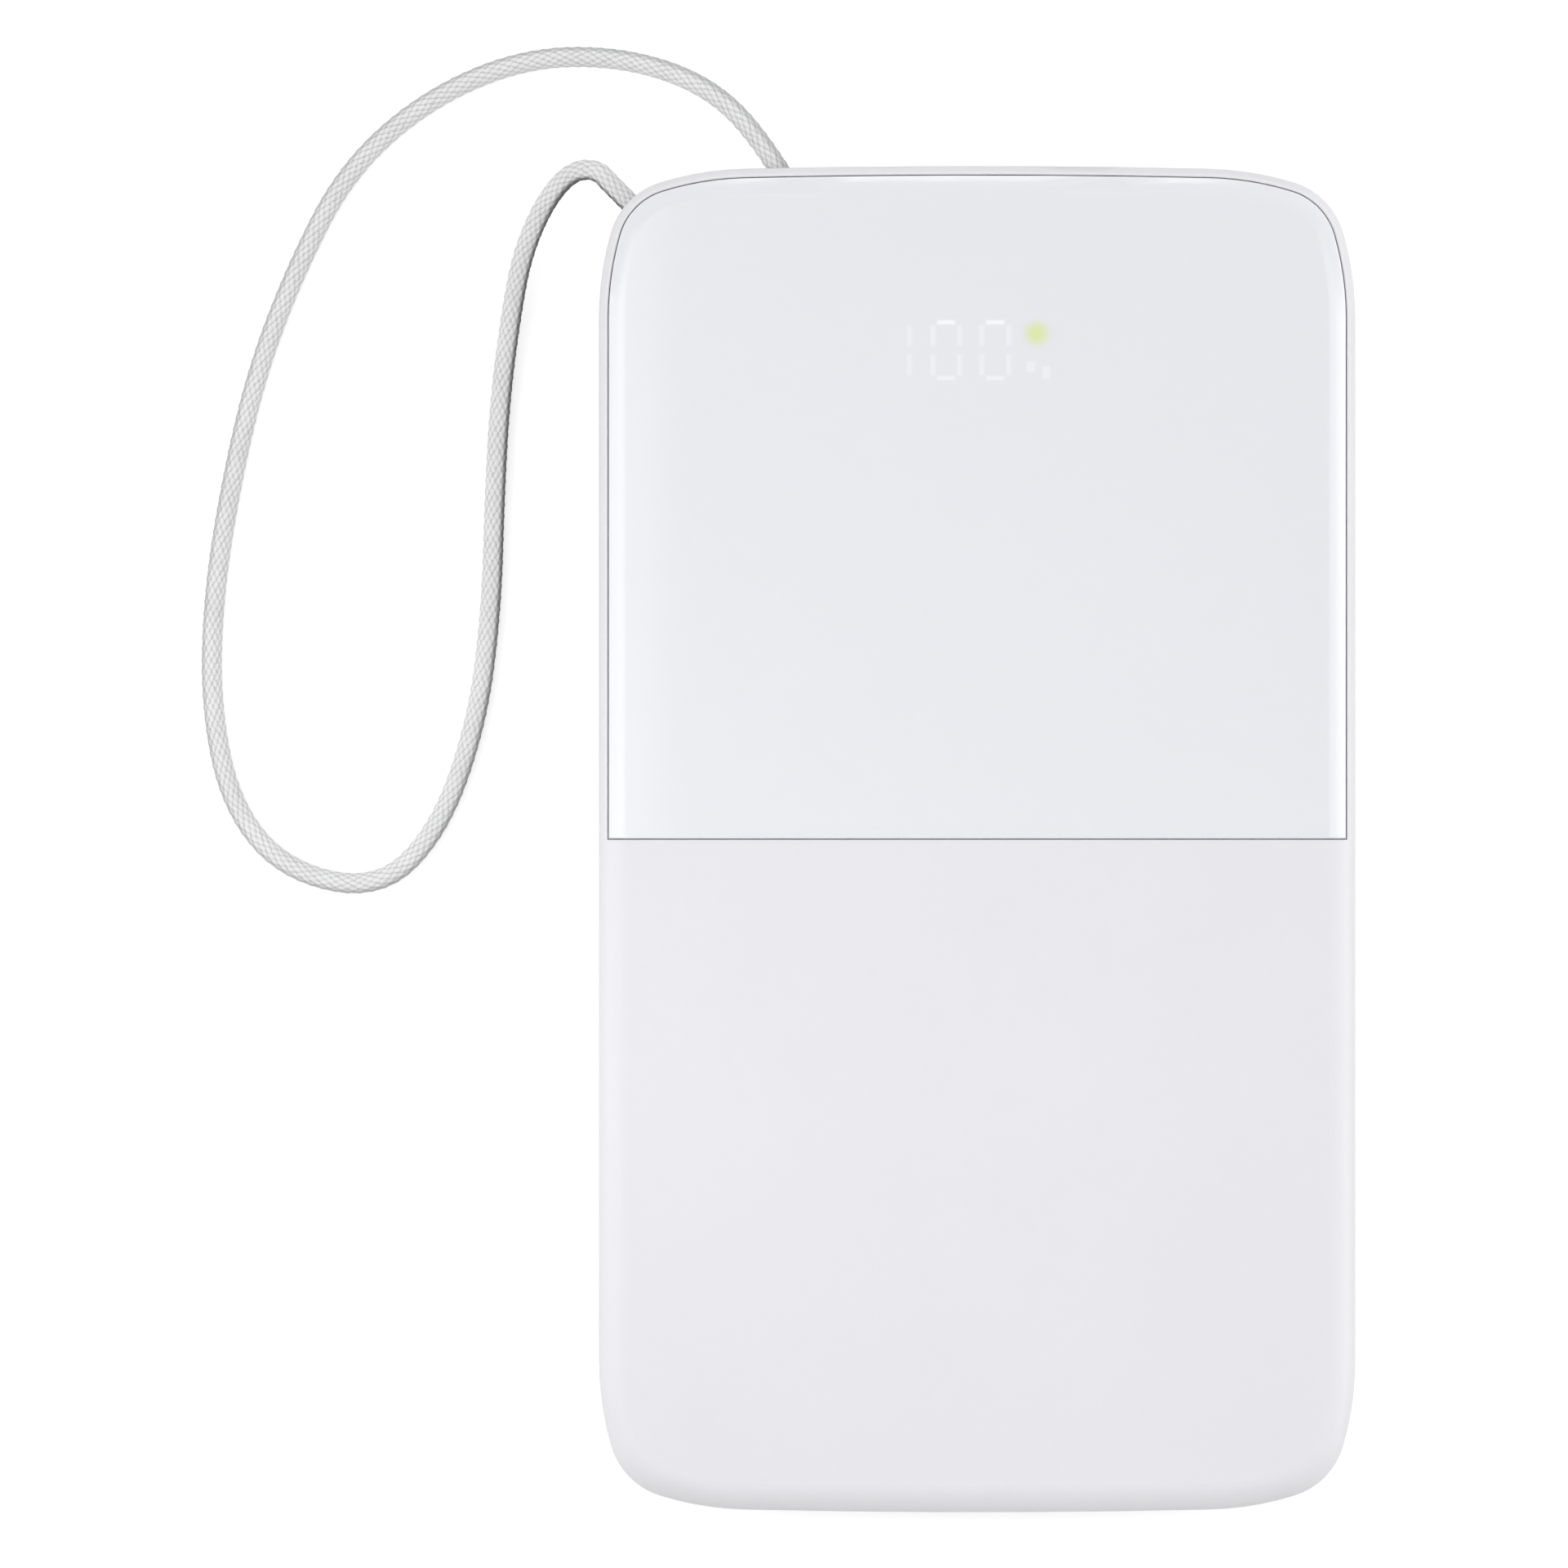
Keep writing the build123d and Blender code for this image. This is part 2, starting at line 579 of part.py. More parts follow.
def socket_legs(width, shell_bottom_z, y_from_mouth, x):
    """Solder legs on both sides of a socket, down through the board."""
    y = PORT_MOUTH_Y - y_from_mouth
    legs = []
    for side in (-1, 1):
        outer = x + side * width / 2
        inner = outer - side * USB_A_SHEET
        across, along = sorted((inner, outer)), (y - LEG_WIDTH / 2, y + LEG_WIDTH / 2)
        legs.append((across, along, (BOARD_BOTTOM - 0.4, shell_bottom_z)))
    return legs


USB_A_LEGS = socket_legs(USB_A_WIDTH, MID_Z, 9.0, USB_A_X)
USB_C_LEGS = socket_legs(USB_C_WIDTH, MID_Z, 4.0, USB_C_X)
PIN_SPOTS = [
    ((i - (PIN_COUNT - 1) / 2) * PIN_PITCH, DISPLAY_Y + side * PIN_ROW_SPACING / 2)
    for side in (-1, 1)
    for i in range(PIN_COUNT)
]


def main_board():
    """Circuit board, cut away around the lanyard's cradles and the case's screw bosses."""
    half = BOARD_WIDTH / 2
    thick = (BOARD_BOTTOM, BOARD_TOP)
    deep = (BOARD_BOTTOM - 1, BOARD_TOP + 1)
    board = block((-half, half), (BOARD_LOW_Y, BOARD_HIGH_Y), thick)
    notch = BOSS_RADIUS + 1.0
    (right_x, right_y), (left_x, left_y) = CASE_SCREW_AT
    board -= block((right_x - notch, half + 1), (right_y - notch, BOARD_HIGH_Y + 1), deep)
    board -= block((-half - 1, left_x + notch), (left_y - notch, BOARD_HIGH_Y + 1), deep)
    relief_y = CORNER_EXIT.Y - BOARD_CORNER_RELIEF
    board -= block((-half - 1, USB_C_X - USB_C_WIDTH), (relief_y, BOARD_HIGH_Y + 1), deep)
    board = fillet(board.edges().filter_by(Axis.Z), BOARD_CORNER)
    for x, y in BOARD_SCREW_AT:
        board -= cylinder(x, y, 0, CASE_HEIGHT, BOARD_SCREW_RADIUS + SCREW_CLEARANCE)
    for x, y in PIN_SPOTS:
        board -= cylinder(x, y, 0, CASE_HEIGHT, PIN_RADIUS + 0.08)
    for x, y, _ in USB_A_LEGS + USB_C_LEGS:
        spare = LEG_SLOT_CLEARANCE
        board -= block((x[0] - spare, x[1] + spare), (y[0] - spare, y[1] + spare), deep)
    return board


def screw(x, y, top, head_radius, head_height, radius, length):
    """Pan-head screw with a round-ended cross recess."""
    body = cylinder(x, y, top - head_height, top, head_radius)
    body = fillet(body.faces().sort_by(Axis.Z)[-1].edges(), head_height * 0.4)
    body += cylinder(x, y, top - head_height - length, top - head_height + 0.1, radius)
    for turn in (0, 90):
        recess = Pos(x, y, top) * Rot(0, 0, turn) * Box(2 * DRIVE_RADIUS + 0.9, DRIVE_RADIUS, 2 * DRIVE_DEPTH)
        body -= recess
    return body


def case_screws():
    head = (CASE_SCREW_HEAD, CASE_SCREW_HEAD_HEIGHT)
    return [screw(x, y, DECK_TOP, *head, CASE_SCREW_RADIUS, CASE_SCREW_LENGTH) for x, y in CASE_SCREW_AT]


def board_screws():
    top = BOARD_TOP + BOARD_SCREW_HEAD_HEIGHT
    head = (BOARD_SCREW_HEAD, BOARD_SCREW_HEAD_HEIGHT)
    return [screw(x, y, top, *head, BOARD_SCREW_RADIUS, BOARD_TOP - WALL) for x, y in BOARD_SCREW_AT]


def chips(spots, x, y, z):
    """Like components, each a small block standing on the board."""
    blocks = []
    for across, along in spots:
        blocks.append(Pos(across, DISPLAY_Y + along, BOARD_TOP + z / 2) * Box(x, y, z))
    return blocks


INDUCTOR_WIDTH = 6.6
INDUCTOR_LENGTH = 6.0
INDUCTOR_HEIGHT = 4.2
# places on the board: across, and along from the middle of the display
CONTROLLER_AT = (-13.2, -0.7)
MOSFET_AT = ((12.6, -2.6), (12.6, 0.5), (16.8, -2.6), (16.8, 0.5))
BULK_CAPACITOR_AT = ((-10.4, 4.4), (4.6, 8.5))


def power_inductor():
    """Square moulded choke under the display."""
    half = INDUCTOR_WIDTH / 2
    y = (DISPLAY_Y - INDUCTOR_LENGTH / 2, DISPLAY_Y + INDUCTOR_LENGTH / 2)
    return rounded_block((-half, half), y, (BOARD_TOP, BOARD_TOP + INDUCTOR_HEIGHT), 0.5)


def charge_controller():
    x, y = CONTROLLER_AT[0], DISPLAY_Y + CONTROLLER_AT[1]
    chip = rounded_block((x - 2.5, x + 2.5), (y - 2.5, y + 2.5), (BOARD_TOP, BOARD_TOP + 0.9), 0.15)
    return chip - cylinder(x - 1.8, y + 1.8, BOARD_TOP + 0.8, BOARD_TOP + 2, 0.25)


def bulk_capacitors():
    """Polymer cans with a rolled rim."""
    cans = []
    for x, y in BULK_CAPACITOR_AT:
        can = cylinder(x, DISPLAY_Y + y, BOARD_TOP, BOARD_TOP + 5.2, 2.0)
        cans.append(fillet(can.faces().sort_by(Axis.Z)[-1].edges(), 0.4))
    return cans


def ceramic_capacitors():
    around = [(-17.4, -2.5 + 1.5 * i) for i in range(4)] + [(-13.8, 3.3), (-9.8, -4.9)]
    beside = [(7.4 + 2.2 * i, -5.9) for i in range(2)] + [(24.4 + 1.9 * i, 1.7) for i in range(2)]
    return chips(around + beside, 1.6, 0.8, 0.8)


def chip_resistors():
    spots = [(-24.0 + 1.7 * i, -3.7) for i in range(4)] + [(-6.6 + 1.6 * i, 6.1) for i in range(3)]
    return chips(spots, 1.0, 0.5, 0.35)


def thermistor():
    """Bead that leans on the cell's end, on the board's edge."""
    y = (BOARD_LOW_Y + 0.2, BOARD_LOW_Y + 1.6)
    return rounded_block((-1.1, 1.1), y, (BOARD_TOP, BOARD_TOP + 1.2), 0.3)


# ---- Sockets ---------------------------------------------------------------------------------------


def usb_a_shell():
    """Folded steel box of the type A socket, open at the mouth, with its solder legs."""
    at = Pos(USB_A_X, PORT_MOUTH_Y, MID_Z)
    shell = at * slot_prism(USB_A_WIDTH, USB_A_HEIGHT, USB_A_DEPTH, 0.6)
    shell -= at * Pos(0, 1, 0) * slot_prism(USB_A_OPENING_WIDTH, USB_A_OPENING_HEIGHT, USB_A_DEPTH + 2, 0.35)
    for x, y, z in USB_A_LEGS:
        shell += block(x, y, z)
    return shell


def usb_a_tongue():
    """White insulator: a block at the back of the socket and the tongue that carries the contacts."""
    back = PORT_MOUTH_Y - USB_A_DEPTH
    at = Pos(USB_A_X, back + USB_A_BASE_DEPTH, MID_Z)
    base = at * slot_prism(USB_A_OPENING_WIDTH - 0.04, USB_A_OPENING_HEIGHT - 0.04, USB_A_BASE_DEPTH, 0.35)
    top = MID_Z + USB_A_OPENING_HEIGHT / 2 - USB_A_TONGUE_CLEARANCE
    half = USB_A_TONGUE_WIDTH / 2
    y = (back + USB_A_BASE_DEPTH - 0.5, PORT_MOUTH_Y - 0.9)
    tongue = block((USB_A_X - half, USB_A_X + half), y, (top - USB_A_TONGUE_THICKNESS, top))
    tongue = chamfer(tongue.edges().filter_by(Axis.X).group_by(Axis.Y)[-1], 0.35)
    return base + tongue


def usb_a_contacts():
    """Four sprung strips under the tongue, the outer two longer."""
    face = MID_Z + USB_A_OPENING_HEIGHT / 2 - USB_A_TONGUE_CLEARANCE - USB_A_TONGUE_THICKNESS
    back = PORT_MOUTH_Y - USB_A_DEPTH + USB_A_BASE_DEPTH
    strips = []
    for offset, tip in ((-3.5, 1.9), (-1.0, 2.9), (1.0, 2.9), (3.5, 1.9)):
        x = (USB_A_X + offset - 0.5, USB_A_X + offset + 0.5)
        strips.append(block(x, (back, PORT_MOUTH_Y - tip), (face - 0.2, face)))
    return strips


def usb_c_shell():
    """Drawn steel sleeve of the type C socket."""
    at = Pos(USB_C_X, PORT_MOUTH_Y, MID_Z)
    sleeve = at * slot_prism(USB_C_WIDTH, USB_C_HEIGHT, USB_C_DEPTH, USB_C_HEIGHT / 2 - 0.01)
    round_end = USB_C_OPENING_HEIGHT / 2 - 0.01
    opening = slot_prism(USB_C_OPENING_WIDTH, USB_C_OPENING_HEIGHT, USB_C_DEPTH + 2, round_end)
    sleeve -= at * Pos(0, 1, 0) * opening
    for x, y, z in USB_C_LEGS:
        sleeve += block(x, y, z)
    return sleeve


def usb_c_tongue():
    """Black insulator: pedestal on the board, block behind the sleeve and the thin central tongue."""
    back = PORT_MOUTH_Y - USB_C_DEPTH
    root = back + USB_C_BASE_DEPTH
    width, height = USB_C_OPENING_WIDTH - 0.04, USB_C_OPENING_HEIGHT - 0.04
    insulator = Pos(USB_C_X, root, MID_Z) * slot_prism(width, height, USB_C_BASE_DEPTH + 1, height / 2 - 0.03)
    half = USB_C_TONGUE_WIDTH / 2
    thick = USB_C_TONGUE_THICKNESS / 2
    across = (USB_C_X - half, USB_C_X + half)
    insulator += block(across, (root - 0.2, root + USB_C_TONGUE_LENGTH), (MID_Z - thick, MID_Z + thick))
    half = width / 2 - 0.4
    across = (USB_C_X - half, USB_C_X + half)
    insulator += block(across, (back - 1, PORT_MOUTH_Y - 2.6), (BOARD_TOP, MID_Z - USB_C_HEIGHT / 2))
    return insulator + block((USB_C_X - 3, USB_C_X + 3), (back - 1, back - 0.2), (BOARD_TOP, MID_Z + 0.6))


def usb_c_contacts():
    """Twelve gold strips on each face of the tongue."""
    back = PORT_MOUTH_Y - USB_C_DEPTH + USB_C_BASE_DEPTH
    strips = []
    for face in (-1, 1):
        near = MID_Z + face * USB_C_TONGUE_THICKNESS / 2
        z = sorted((near, near + face * 0.06))
        for i in range(12):
            x = USB_C_X + (i - 5.5) * USB_C_CONTACT_PITCH
            strips.append(block((x - 0.13, x + 0.13), (back, back + USB_C_TONGUE_LENGTH - 0.7), z))
    return strips


# ---- Display ---------------------------------------------------------------------------------------


def segment(x, y, upright):
    """Plan of one bar of a digit, with pointed ends, centred on a point."""
    length = (DIGIT_HEIGHT - SEGMENT_WIDTH) / 2 if upright else DIGIT_WIDTH - SEGMENT_WIDTH
    half = length / 2 - SEGMENT_GAP / 2
    w = SEGMENT_WIDTH / 2
    corners = [(-half, 0), (-half + w, w), (half - w, w), (half, 0), (half - w, -w), (-half + w, -w)]
    if upright:
        corners = [(b, a) for a, b in corners]
    return make_face(Polyline([(x + a, y + b) for a, b in corners], close=True))


def digit_faces():
    """Plans of the display's bars: a one, two full digits and the percent sign's three strokes."""
    reach_x = (DIGIT_WIDTH - SEGMENT_WIDTH) / 2
    reach_y = (DIGIT_HEIGHT - SEGMENT_WIDTH) / 4
    faces = [segment(DIGIT_ONE_X, DISPLAY_Y + side * reach_y, True) for side in (-1, 1)]
    for centre in DIGIT_CENTRES:
        for side in (-1, 1):
            faces += [segment(centre + side * reach_x, DISPLAY_Y + half * reach_y, True) for half in (-1, 1)]
        faces += [segment(centre, DISPLAY_Y + level * 2 * reach_y, False) for level in (-1, 0, 1)]
    base = DISPLAY_Y - DIGIT_HEIGHT / 2 + PERCENT_HEIGHT / 2
    for side in (-1, 1):
        dot = (PERCENT_X - side * PERCENT_DOT_OFFSET, base + side * PERCENT_DOT_RISE)
        faces.append(Pos(*dot) * Circle(PERCENT_DOT))
    faces.append(Pos(PERCENT_X, base) * Rot(0, 0, -PERCENT_SLANT) * Rectangle(PERCENT_STROKE, PERCENT_HEIGHT))
    return faces


def display_segments():
    """Clear resin bars that fill the display's light wells."""
    return [Pos(0, 0, DISPLAY_TOP - SEGMENT_DEPTH) * extrude(face, SEGMENT_DEPTH) for face in digit_faces()]


def display_body():
    """White reflector block with a well for each bar and for the charging light."""
    body = display_box(0, DISPLAY_BOTTOM, DISPLAY_TOP)
    body = fillet(body.edges().filter_by(Axis.Z), 0.3)
    floor = DISPLAY_TOP - SEGMENT_DEPTH - SEGMENT_CLEARANCE
    for face in digit_faces():
        well = offset(face, SEGMENT_CLEARANCE, kind=Kind.INTERSECTION)
        body -= Pos(0, 0, floor) * extrude(well, DISPLAY_THICKNESS)
    return body - cylinder(LED_X, DISPLAY_Y + LED_RISE, floor, CASE_HEIGHT, LED_RADIUS + SEGMENT_CLEARANCE)


def charging_light():
    """Green lamp beside the last digit."""
    lamp = cylinder(LED_X, DISPLAY_Y + LED_RISE, DISPLAY_TOP - SEGMENT_DEPTH, DISPLAY_TOP, LED_RADIUS)
    return fillet(lamp.faces().sort_by(Axis.Z)[-1].edges(), 0.3)


def display_pins():
    """Two rows of pins that carry the display above the board."""
    return [cylinder(x, y, BOARD_BOTTOM - 0.6, DISPLAY_BOTTOM, PIN_RADIUS) for x, y in PIN_SPOTS]


def display_gasket():
    """Black foam frame that keeps the display's light off the rest of the panel."""
    frame = display_box(0, DISPLAY_TOP, DISPLAY_TOP + GASKET_THICKNESS)
    return frame - display_box(-GASKET_WIDTH, 0, CASE_HEIGHT)


# ---- Side key --------------------------------------------------------------------------------------


def power_button():
    """Key cap, flush with the side, with the flange that keeps it in and the rib that works the switch."""
    wall_inside = SIDE_X - WALL
    cap = key_prism(KEY_LENGTH, KEY_WIDTH, wall_inside - KEY_CLEARANCE - 0.1, SIDE_X)
    cap = fillet(cap.faces().sort_by(Axis.X)[-1].edges(), 0.25)
    flange_face = wall_inside - KEY_CLEARANCE
    grown = 2 * KEY_FLANGE
    cap += key_prism(KEY_LENGTH + grown, KEY_WIDTH + grown, flange_face - KEY_FLANGE_THICKNESS, flange_face)
    rib = Pos(SWITCH_FACE_X + PLUNGER_REACH + 0.03, KEY_Y, MID_Z)
    rib_length = flange_face - KEY_FLANGE_THICKNESS + 0.1 - (SWITCH_FACE_X + PLUNGER_REACH + 0.03)
    return cap + rib * extrude(Plane.YZ * RectangleRounded(3.0, 2.0, 0.4), rib_length)


def plunger_block(margin, x_from, x_to):
    """The plunger's stem between two distances from the middle, grown by a margin all round."""
    length = PLUNGER_LENGTH + 2 * margin
    width = PLUNGER_WIDTH + 2 * margin
    return Pos((x_from + x_to) / 2, KEY_Y, MID_Z) * Box(x_to - x_from, length, width)


def switch_well():
    """The room inside the switch for its plunger and dome."""
    spare = PLUNGER_CLEARANCE
    well = plunger_block(spare, SWITCH_FACE_X - 1, SWITCH_FACE_X + 1)
    depth = SWITCH_LID + PLUNGER_FLANGE_THICKNESS + KEY_TRAVEL + spare
    well += plunger_block(PLUNGER_FLANGE + spare, SWITCH_FACE_X - depth, SWITCH_FACE_X - SWITCH_LID)
    seat = Plane(origin=(SWITCH_FACE_X - DOME_SEAT, KEY_Y, MID_Z), z_dir=(1, 0, 0))
    return well + extrude(seat * Circle(DOME_RADIUS + 0.1), DOME_SEAT - SWITCH_LID)


def switch_body():
    """Right-angle tact switch standing on the edge of the board."""
    x = (SWITCH_FACE_X - SWITCH_DEPTH, SWITCH_FACE_X)
    y = (KEY_Y - SWITCH_LENGTH / 2, KEY_Y + SWITCH_LENGTH / 2)
    return rounded_block(x, y, (BOARD_TOP, BOARD_TOP + SWITCH_HEIGHT), 0.3) - switch_well()


def switch_plunger():
    """Plunger: a stem through the lid, a flange that the lid holds in, and a nub on the dome."""
    flange_top = SWITCH_FACE_X - SWITCH_LID - PLUNGER_CLEARANCE / 2
    stem = plunger_block(0, flange_top - 0.1, SWITCH_FACE_X + PLUNGER_REACH)
    stem = fillet(stem.edges().filter_by(Axis.X), 0.2)
    stem += plunger_block(PLUNGER_FLANGE, flange_top - PLUNGER_FLANGE_THICKNESS, flange_top)
    apex = SWITCH_FACE_X - DOME_SEAT + DOME_RISE + DOME_TOUCH_GAP
    nub = Plane(origin=(apex, KEY_Y, MID_Z), z_dir=(1, 0, 0)) * Circle(NUB_RADIUS)
    return stem + extrude(nub, flange_top - apex)


def cap_arc(ball_radius, drop):
    """Half of a sphere's cap in section, from its rim to its top, above a level."""
    rim = sqrt(ball_radius**2 - drop**2)
    half = atan2(rim, drop) / 2
    middle = (ball_radius * sin(half), ball_radius * cos(half) - drop)
    return ThreePointArc((rim, 0), middle, (0, ball_radius - drop))


def switch_dome():
    """Snap dome: a thin cap of a sphere that gives the key its click."""
    ball_radius = (DOME_RADIUS**2 + DOME_RISE**2) / (2 * DOME_RISE)
    drop = ball_radius - DOME_RISE
    outer = cap_arc(ball_radius, drop)
    inner = cap_arc(ball_radius - DOME_SHEET, drop)
    profile = make_face([outer, inner, Line(outer @ 0, inner @ 0), Line(outer @ 1, inner @ 1)])
    dome = revolve(Plane.XZ * profile, Axis.Z)
    return Pos(SWITCH_FACE_X - DOME_SEAT, KEY_Y, MID_Z) * Rot(0, 90, 0) * dome


# ---- Lanyard ---------------------------------------------------------------------------------------

CORD_LIE = CORD_RADIUS + 0.05  # the cord's middle where it lies on the table
# The cord's route outside the case, from the end wall round to the corner: across and along from the
# case's corner, and up from the table.
CORD_ROUTE = [
    (9.6, 8.0, 6.6),
    (1.6, 10.8, 3.3),
    (-7.5, 10.7, 1.4),
    (-16.4, 6.8, CORD_LIE),
    (-23.4, 0.3, CORD_LIE),
    (-28.0, -8.6, CORD_LIE),
    (-31.5, -17.9, CORD_LIE),
    (-33.9, -27.9, CORD_LIE),
    (-35.5, -38.1, CORD_LIE),
    (-35.8, -48.1, CORD_LIE),
    (-34.0, -57.4, CORD_LIE),
    (-28.8, -63.5, CORD_LIE),
    (-20.3, -65.4, CORD_LIE),
    (-14.8, -59.7, CORD_LIE),
    (-11.5, -49.9, CORD_LIE),
    (-10.2, -39.5, CORD_LIE),
    (-9.9, -28.7, CORD_LIE),
    (-9.2, -18.5, 1.3),
    (-7.4, -8.6, 3.4),
    (-4.1, -1.0, 6.8),
]
END_LEAD = 3.0  # straight out of each hole
CORNER_LEAD = 2.2


def cord_points():
    """The whole route, from inside one ferrule to inside the other."""
    first, last = [at - way * (setback + FERRULE_BORE_DEPTH) for _, at, way, setback in CORD_ENDS]
    out, back = END_EXIT + END_WAY * END_LEAD, CORNER_EXIT + CORNER_WAY * CORNER_LEAD
    between = [Vector(x - SIDE_X, y + END_Y, z) for x, y, z in CORD_ROUTE]
    return [first, out] + between + [back, last]


def cord_radii(points):
    """The largest even bend that each corner of the route has room for."""
    radii = []
    for before, here, after in zip(points, points[1:], points[2:]):
        into, out = here - before, after - here
        turn = radians(into.get_angle(out))
        radii.append(0.45 * min(into.length, out.length) / tan(turn / 2))
    return radii


def lanyard_cord():
    points = cord_points()
    radii = cord_radii(points)
    path = FilletPolyline(*points, radius=radii)
    start = path.edges()[0]
    section = Plane(origin=start @ 0, z_dir=start % 0) * Circle(CORD_RADIUS)
    cord = sweep(section, path=path)
    print("cord: length", round(path.length, 1), "bends", [round(r, 1) for r in radii])
    swept = path.length * pi * CORD_RADIUS**2
    print("cord: volume over section times length", round(cord.volume / swept, 4))
    return cord


def lanyard_ferrule(which):
    """Crimped cup on one end of the cord, too wide for the hole."""
    _, at, way, setback = CORD_ENDS[which]
    mouth = at - way * setback
    cup = rod(mouth, -way, FERRULE_LENGTH, FERRULE_RADIUS)
    cup = fillet([e for e in cup.edges() if e.geom_type == GeomType.CIRCLE], 0.25)
    spare = FERRULE_BORE_CLEARANCE
    return cup - rod(mouth + way, -way, FERRULE_BORE_DEPTH + 1 + spare, CORD_RADIUS + spare)


# ---- Write every piece -----------------------------------------------------------------------------

PIECES = {
    "front_shell": front_shell,
    "back_shell": back_shell,
    "display_cover": display_cover,
    "cover_adhesive": cover_adhesive,
    "battery_cell": battery_cell,
    "cell_tab_positive": lambda: cell_tab(1),
    "cell_tab_negative": lambda: cell_tab(-1),
    "terrace_tape": terrace_tape,
    "cell_back_foam": cell_back_foam,
    "cell_front_foam": cell_front_foam,
    "main_board": main_board,
    "case_screws": case_screws,
    "board_screws": board_screws,
    "power_inductor": power_inductor,
    "charge_controller": charge_controller,
    "power_mosfets": lambda: chips(MOSFET_AT, 3.0, 2.6, 0.9),
    "bulk_capacitors": bulk_capacitors,
    "ceramic_capacitors": ceramic_capacitors,
    "chip_resistors": chip_resistors,
    "thermistor": thermistor,
    "usb_a_shell": usb_a_shell,
    "usb_a_tongue": usb_a_tongue,
    "usb_a_contacts": usb_a_contacts,
    "usb_c_shell": usb_c_shell,
    "usb_c_tongue": usb_c_tongue,
    "usb_c_contacts": usb_c_contacts,
    "display_body": display_body,
    "display_segments": display_segments,
    "charging_light": charging_light,
    "display_pins": display_pins,
    "display_gasket": display_gasket,
    "power_button": power_button,
    "switch_body": switch_body,
    "switch_plunger": switch_plunger,
    "switch_dome": switch_dome,
    "lanyard_cord": lanyard_cord,
    "lanyard_ferrule_end": lambda: lanyard_ferrule(0),
    "lanyard_ferrule_corner": lambda: lanyard_ferrule(1),
}

os.makedirs("parts", exist_ok=True)
for name, make in PIECES.items():
    made = make()
    shape = Compound(children=list(made)) if isinstance(made, list) else made
    export_step(shape, f"parts/{name}.step")
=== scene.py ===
"""The looks of a slim power bank with a numeric charge display and a braided wrist lanyard."""

import bpy
from math import cos, pi, radians, sin
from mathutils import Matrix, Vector


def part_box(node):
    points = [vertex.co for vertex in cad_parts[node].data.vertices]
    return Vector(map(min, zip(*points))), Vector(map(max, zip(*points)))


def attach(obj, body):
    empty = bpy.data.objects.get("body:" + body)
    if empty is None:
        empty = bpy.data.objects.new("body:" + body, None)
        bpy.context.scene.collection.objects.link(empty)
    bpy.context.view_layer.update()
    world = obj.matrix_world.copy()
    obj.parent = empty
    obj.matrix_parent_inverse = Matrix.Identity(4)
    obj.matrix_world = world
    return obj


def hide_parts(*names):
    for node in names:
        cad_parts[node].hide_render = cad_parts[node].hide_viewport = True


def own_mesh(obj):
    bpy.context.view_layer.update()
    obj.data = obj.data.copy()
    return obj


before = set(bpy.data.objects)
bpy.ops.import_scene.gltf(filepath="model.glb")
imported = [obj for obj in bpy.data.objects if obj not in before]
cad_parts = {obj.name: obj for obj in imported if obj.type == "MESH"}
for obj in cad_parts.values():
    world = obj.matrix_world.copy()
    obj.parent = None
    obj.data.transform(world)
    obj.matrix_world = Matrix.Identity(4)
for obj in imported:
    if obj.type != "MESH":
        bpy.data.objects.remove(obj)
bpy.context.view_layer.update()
side_x, end_y, case_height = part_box("front_shell")[1]
mid_z = case_height / 2

# ---- Camera ----------------------------------------------------------------------------------------
# A long lens straight above the bank as it lies on its back, off to the left so that the lanyard's loop
# is in the picture.

CAMERA_OVER = (-0.01736, 0.00495)
CAMERA_HEIGHT = 2.3628
LENS = 600.0
SENSOR = 36.0
NEAREST, FARTHEST = 0.01, 20.0

camera = bpy.data.objects.new("camera", bpy.data.cameras.new("camera"))
camera.data.lens = LENS
camera.data.sensor_width = SENSOR
camera.data.clip_start = NEAREST
camera.data.clip_end = FARTHEST
camera.location = (*CAMERA_OVER, CAMERA_HEIGHT)
bpy.context.scene.collection.objects.link(camera)
bpy.context.scene.camera = camera
bpy.context.scene.view_settings.view_transform = "Standard"
bpy.context.scene.view_settings.look = "None"

# ---- Wrist lanyard ---------------------------------------------------------------------------------
# One length of round braided polyester cord. Both ends go through slanted holes in the case's corner
# into crimped cups. It drops to the table and lies there in a long open loop.

CORD_DIAMETER = 0.0019
CORD_LIE = 0.001
CORD_EXIT = (-0.0177, 0.06033, mid_z)
CORD_EXIT_SLANT = 30.0
CORNER_EXIT = (-0.03129, 0.05732, mid_z)
CORNER_EXIT_SLANT = 45.65
END_RUN = (-0.0045, 0.0030)  # from inside the case to outside it, along the end's hole
CORNER_RUN = (0.0022, -0.0037)  # back in along the corner's hole
BRAID_STRANDS = 10
BRAID_PITCH = 0.00105
BRAID_DEPTH = 0.00015
BRAID_RING_STEP = 0.00012
BRAID_RING_POINTS = 48
STRAND_ROUNDNESS = 0.6
STRAND_DIP = 0.45  # share of its height that a strand loses where it goes under
GAP_TO, CROWN_FROM = 0.1, 0.75  # of that height, for the painted shade in the gaps between strands
CORD_GREY = (0.80, 0.80, 0.80, 1)
# painted shade: the colour that the gaps between strands are darkened to
CORD_GAP_SHADE = (0.46, 0.46, 0.47, 1)
